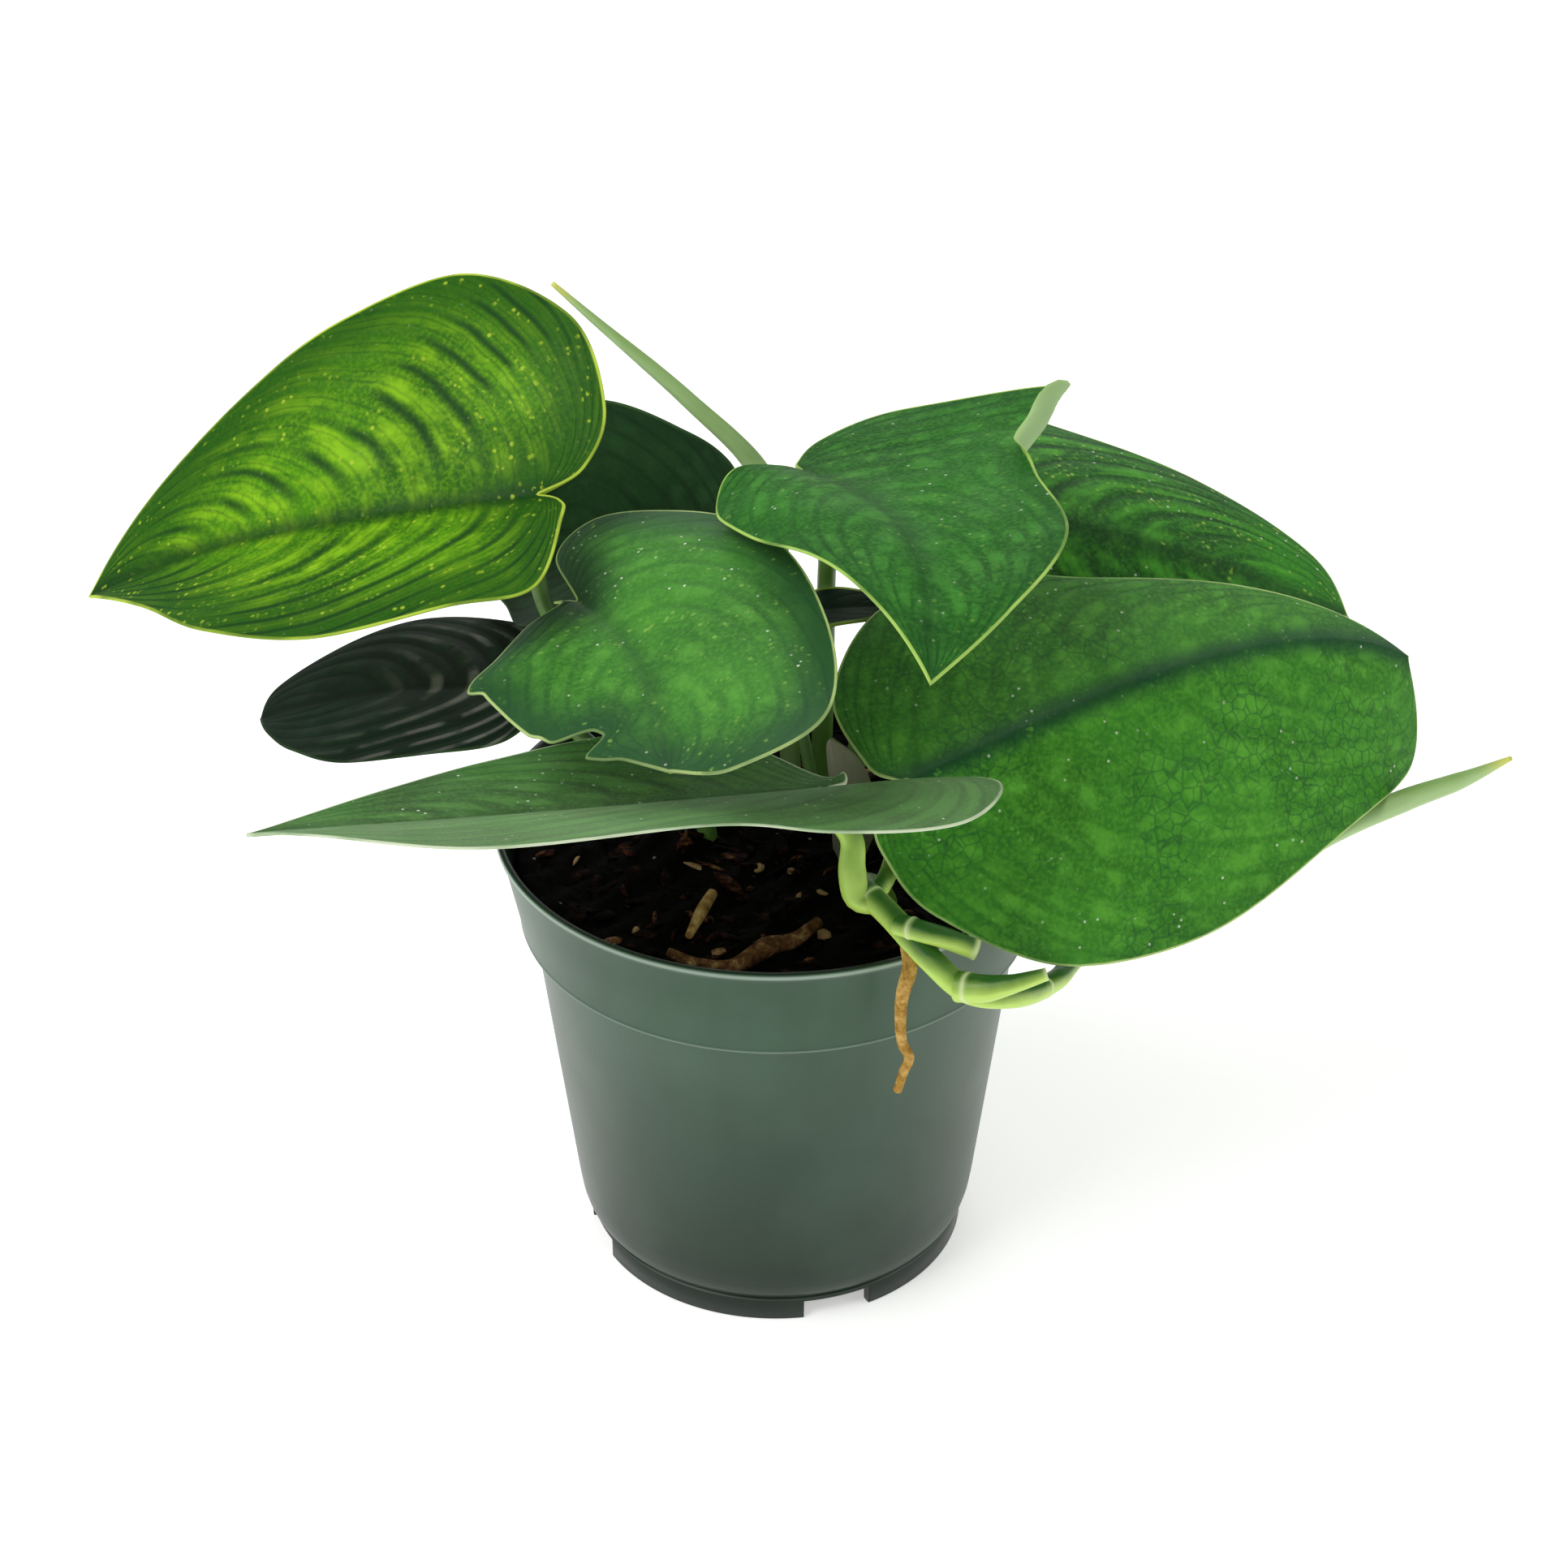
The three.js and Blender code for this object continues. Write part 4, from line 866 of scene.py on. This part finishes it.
# The large right leaf. The longest and broadest blade, carried by the vine: deep green with a
# blue-green band along the midrib, fine veinlets like crackled glaze, and lighter mottles.
large_right_leaf = {
    "at": (23.3, -31.4, 118.9), "heading": 23.1, "rise": 13.4, "roll": 34.6,
    "droop": (-0.01, 0.45), "swing": 0.1, "fold": (-3.6, -22.1), "cup": (-0.72, -0.37),
    "length": 113.3, "left": (77.8, 55.7, 48.2, 38.8, 22.2, 8.1, 2.3),
    "right": (121.4, 94.4, 69.4, 46.4, 24.8, 14.2, 8.8), "ripple": (0.4, 3, 0.0),
    "veins": 15, "quilt": 0.15,
}
large_right_look = JADE_LOOK | {
    "shade": "#2e6c18", "body": "#3b8423", "light": "#60ac36", "vein": "#124028",
    "band": 0.12, "rib": 0.85, "rib_width": 4.5, "net": 0.5, "fleck": "#6bb045", "flecks": 0.5,
    "painted_sheen": ("#9bb39a", 0.08, 0.0), "rim_amount": 0.2,
}
grow_blade("leaf_large_right", large_right_leaf, large_right_look)

# The long front leaf. A narrow blade that lies to the left across the front, carried by the vine:
# dark and streaky above its midrib, greyed below it by a painted sheen, with a thin white margin.
front_long_leaf = {
    "at": (9.6, -36, 120.1), "heading": 199.9, "rise": 6, "roll": 20.3,
    "droop": (0, 0.01), "swing": -0.05, "fold": (13.8, 10.1), "cup": (-0.55, 0.15),
    "length": 101.8, "left": (95.1, 79.1, 47.5, 44.4, 43.1, 32.5, 15.5),
    "right": (79.5, 59.9, 43.1, 25.3, 6.2, 7.6, 4), "ripple": (0.4, 3, 0.5),
    "veins": 15, "quilt": 0.08,
}
front_long_look = JADE_LOOK | {
    "shade": "#295419", "body": "#3a7725", "light": "#5b9742", "vein": "#102e13", "band": 0.4,
    "painted_sheen": ("#93b284", 0.4, 0.12), "rough": 0.62, "margin": "#dfe9cb", "fleck": "#7fa860",
    "rim_amount": 0.15, "streaky": 0.9, "dust": 1.0,
}
grow_blade("leaf_front_long", front_long_leaf, front_long_look)

# The lower left leaf and its stalk. A small puckered blade in deep shade, painted almost
# black-green as shade, with a painted greyish sheen on its ridges.
lower_left_leaf = {
    "at": (-48.7, 9.7, 112.7), "heading": 169.6, "rise": -3.2, "roll": -7.1,
    "droop": (0.35, 0.09), "swing": -0.03, "fold": (12.4, 9), "cup": (-0.38, -0.87),
    "length": 52, "left": (47.6, 42.2, 36.3, 23.9, 19.2, 10.9, 6),
    "right": (51, 42.8, 33.2, 24.8, 17.8, 11, 6), "ripple": (0.6, 3, 0.3), "veins": 10,
    "quilt": 0.45,
}
# Painted shade: the near-black greens of a blade in the shade of the others, for the leaves low
# down and behind.
shaded_look = JADE_LOOK | {
    "shade": "#091c0e", "body": "#0e2815", "light": "#183a20", "vein": "#05120a", "flecks": 0.0,
    "margin": "#3f5a33", "margin_amount": 0.5, "dust": 0.0, "rim": "#0c1c11", "back": "#1a2f20",
    "painted_sheen": ("#8a8684", 0.0, 0.04), "cells": 0.15, "rough": 0.66,
}
# A painted greyish sheen on the ridges near the stalk.
lower_left_look = shaded_look | {"ridges": 0.8}
grow_blade("leaf_lower_left", lower_left_leaf, lower_left_look)
grow_stalk("stalk_lower_left", lower_left_leaf,
           [(-20, 5, 77), (-23, 5, 90), (-32, 5.5, 101), (-41, 8, 108)], (1.8, 1.3))

# The back left leaf and its stalk. A smooth blade that shows behind the upper left one, painted
# dark as in its shade. It is as thick and leathery as the others, with a dull green margin.
back_left_leaf = {
    "at": (-11.5, 24.8, 139), "heading": 139.9, "rise": -23.4, "roll": -27.6,
    "droop": (0.11, -0.1), "swing": 0.45, "fold": (35.3, 34.8), "cup": (-0.7, -0.06),
    "length": 57.7, "left": (52, 45.9, 43, 36.8, 30, 15.1, 8.2),
    "right": (50.1, 41.5, 39.9, 19.5, 13.2, 10, 7.1), "ripple": (0.5, 3, 0.7), "veins": 11,
    "quilt": 0.15,
}
back_left_look = shaded_look | {"shade": "#1b391c", "body": "#234725", "light": "#2f5830",
                              "margin": "#4f7040", "painted_sheen": ("#6e6a6a", 0.0, 0.0)}
grow_blade("leaf_back_left", back_left_leaf, back_left_look)
grow_stalk("stalk_back_left", back_left_leaf,
           [(-3, 16, 77), (-3, 18, 95), (-5, 22, 120), (-8, 24, 138)], (1.9, 1.4))

# The small inner leaf and its stalk. A young narrow blade between the stalks, dull, and painted
# dark as in shade, with a yellow-green margin.
small_inner_leaf = {
    "at": (2.5, 13.5, 126.8), "heading": 3, "rise": 6, "roll": 0, "droop": (0.3, 0.2), "swing": 0,
    "fold": (10, 10), "cup": (-0.6, -0.6), "length": 24, "left": (19, 14, 9.5, 5.5, 4.5, 4, 3),
    "right": (19, 15, 11, 8, 6, 4.5, 3.5), "ripple": (0.2, 3, 0.2), "veins": 7, "quilt": 0.1,
}
small_inner_look = shaded_look | {"shade": "#12251a", "body": "#1a3522", "margin": "#a9c24e",
                                "margin_mm": 1.0, "margin_amount": 0.85}
grow_blade("leaf_small_inner", small_inner_leaf, small_inner_look)
grow_stalk("stalk_small_inner", small_inner_leaf,
           [(6, 5, 77), (7, 7, 92), (4, 11, 108), (1.5, 13, 118.5)], (1.3, 1.0))

# The dried sheath. The papery scale that once wrapped a young leaf, now grey and rolled up, still
# stuck in the mix beside the vine.
sheath = {
    "at": (12.5, -4.5, 80), "heading": -110, "rise": 84, "roll": -20, "droop": (0.1, 0.3),
    "swing": 0, "fold": (35, 30), "cup": (2, 2), "length": 36,
    "left": (29, 16, 5.5, 3, 2.2, 1.6, 1.1), "right": (28, 15, 5.5, 3, 2.2, 1.6, 1.1),
    "ripple": (0.4, 4, 0.2), "veins": 5, "quilt": 0.1,
}
sheath_look = JADE_LOOK | {
    "shade": "#3c3d31", "body": "#6f705c", "light": "#a3a58d", "vein": "#35342a",
    "back": "#8f9078", "flecks": 0.0, "margin": "#8b8a70", "dust": 0.0, "rough": 0.7,
    "rim": "#55543f", "rim_mm": 2.0, "painted_sheen": ("#8f9078", 0.1, 0.1),
}
blade = leaf_piece("dried_sheath_blade", sheath,
                   satin_blade("papery dried sheath", sheath["veins"], sheath_look))
stands_for(blade, "dried_sheath")

# The trailing vine. A juicy stem that rises from the mix, bends over the lip and runs out to the
# right, with two leaf stalks, two older stubs that were cut, and pale rings at its joints.
# up is painted shade on the vine's top, down a painted glow of light through its underside, pale
# the joints and cut ends.
VINE_COLOURS = {"up": "#2b5f19", "down": "#badb64", "pale": "#d3e2a4"}
VINE_ROUTE = [(20, -17, 76), (20, -21, 86), (17, -32, 97), (15.8, -41, 102.2),
              (20.2, -47, 100.8), (26.3, -54.5, 97.6), (33, -58.2, 92.9), (41, -55, 89.3),
              (49.8, -41.3, 83), (55.6, -29.5, 80.6), (66, -21, 79.3), (80, -17.2, 80.6),
              (96, -5.6, 85.6)]
UPPER_STUB = [(21.2, -50, 101.2), (25.2, -53, 101.8), (29.4, -54, 101), (34.9, -54.6, 98.9)]
LOWER_STUB = [(31.5, -58.5, 94), (35.8, -60.5, 95), (40.4, -61.5, 96.6), (46.6, -61, 98.4)]
FRONT_STALK = [(17.8, -43.4, 101.5), (14.6, -43, 102), (13.5, -42, 107), (13.3, -40.2, 112.5)]
RIGHT_STALK = [(17.6, -41.5, 101.5), (19.8, -38, 103.5), (22, -33, 109)]
vine = stem_piece("trailing_vine_skin", [
    stem_rings(VINE_ROUTE, (2.3, 2.3, 2.2, 1.9, 1.6, 1.6),
               per_mm=2.5, rings=((0.26, 0.15, 0.3), (0.56, 0.1, 0.4))),
    stem_rings(UPPER_STUB, (2.0, 1.8), per_mm=2.5, cut=1.0,
               rings=((0.22, 0.2, 0.4), (0.97, 0.1, 0.5))),
    stem_rings(LOWER_STUB, (2.8, 2.4, 1.6, 1.1), per_mm=2.5, cut=1.0,
               rings=((0.12, 0.1, 0.4), (1.0, 0.05, 0.4))),
    stem_rings([*FRONT_STALK, under_blade(front_long_leaf, 1.9)], (2.4, 2.5, 2.0, 1.9)),
    stem_rings([*RIGHT_STALK, under_blade(large_right_leaf, 1.4)], (1.7, 1.4)),
], juicy_stem("trailing vine", VINE_COLOURS))
stands_for(vine, "trailing_vine")

# The aerial root. It grew down from a joint of the vine over the lip of the pot and dried to a
# tough tan cord with a blunt end.
AERIAL_ROOT = [(22.9, -51, 98.5), (23.4, -54.3, 95.2), (22.4, -55.2, 91), (22, -54.4, 86.8),
               (22.4, -53.4, 78.2), (23.7, -53.2, 74.8), (22.9, -53, 72), (21.8, -52.4, 67)]


def dry_cord(node, rings, material, tone=0.0):
    """A bare root or stick of one tone that stands for a CAD node."""
    piece = stem_piece(node + "_skin", [rings], material, {"tone": tone + 0 * rings[1]})
    stands_for(piece, node)


dry_cord("aerial_root",
         stem_rings(AERIAL_ROOT, (1.35, 1.35, 1.1, 0.95, 0.9, 0.8), per_mm=2.0),
         damp_bark("dry aerial root", ("#5b3f1c", "#a8803c", "#d3b06c"), 2.5), tone=0.05)

# The split of wood and the dead root that lie on the mix: pale splintered wood, and a brown curled
# root with a lump in its middle. Both are only pressed into the peat.
STICK = [(-11.5, -19.6, 87), (-13, -24.7, 87.4), (-15.5, -32.9, 86.8)]
DEAD_ROOT = [(-19, -39.5, 88), (-14, -42, 87), (-8, -42.3, 86.6), (-4, -40, 87.4),
             (-1, -36.5, 87.2), (3, -34.5, 86.8), (8, -30, 88)]
dry_cord("wood_splinter", stem_rings(STICK, (1.0, 1.2, 0.7)),
         damp_bark("split wood", ("#6d4c2b", "#b58a56", "#d9b988"), 2.5))
dry_cord("dead_root", stem_rings(DEAD_ROOT, (0.8, 1.3, 1.4, 1.9, 1.4, 1.0)),
         damp_bark("dead root", ("#1a0e08", "#6a452c", "#b08d62"), 2.0))

# The two young leaves, at the top and at the end of the vine. Each blade is still rolled up into a
# pale green spindle on its stalk, with a yellow tip.
# up is painted shade on the top of each spindle, down a painted glow below, and pale the yellow
# tip.
YOUNG_COLOURS = {"up": "#86a761", "down": "#a4c285", "pale": "#c9c963"}
YOUNG_LEAVES = {
    "furled_leaf_tall": ([(3, 21, 77), (2.5, 21, 100), (0.2, 22.5, 131), (-2.6, 14, 155.6),
                          (-15.5, 14, 170.5), (-31.5, 17.5, 184), (-39.3, 19.5, 190.5)],
                         (1.9, 2.0, 2.4, 2.7, 1.75, 1.25, 0.45)),
    "furled_leaf_vine_end": ([(95.8, -5.8, 85.6), (106, 1.8, 87.4), (118, 2, 93.6),
                              (127, -3, 101.2), (134.3, -7, 108.3)],
                             (1.9, 2.3, 2.2, 1.7, 0.45)),
}
young = juicy_stem("young rolled leaf", YOUNG_COLOURS)
for name, (route, radii) in YOUNG_LEAVES.items():
    spindle = stem_rings(route, radii, rings=((1.0, 0.0, 4.0),), cut=1.0)
    stands_for(stem_piece(name + "_skin", [spindle], young), name)
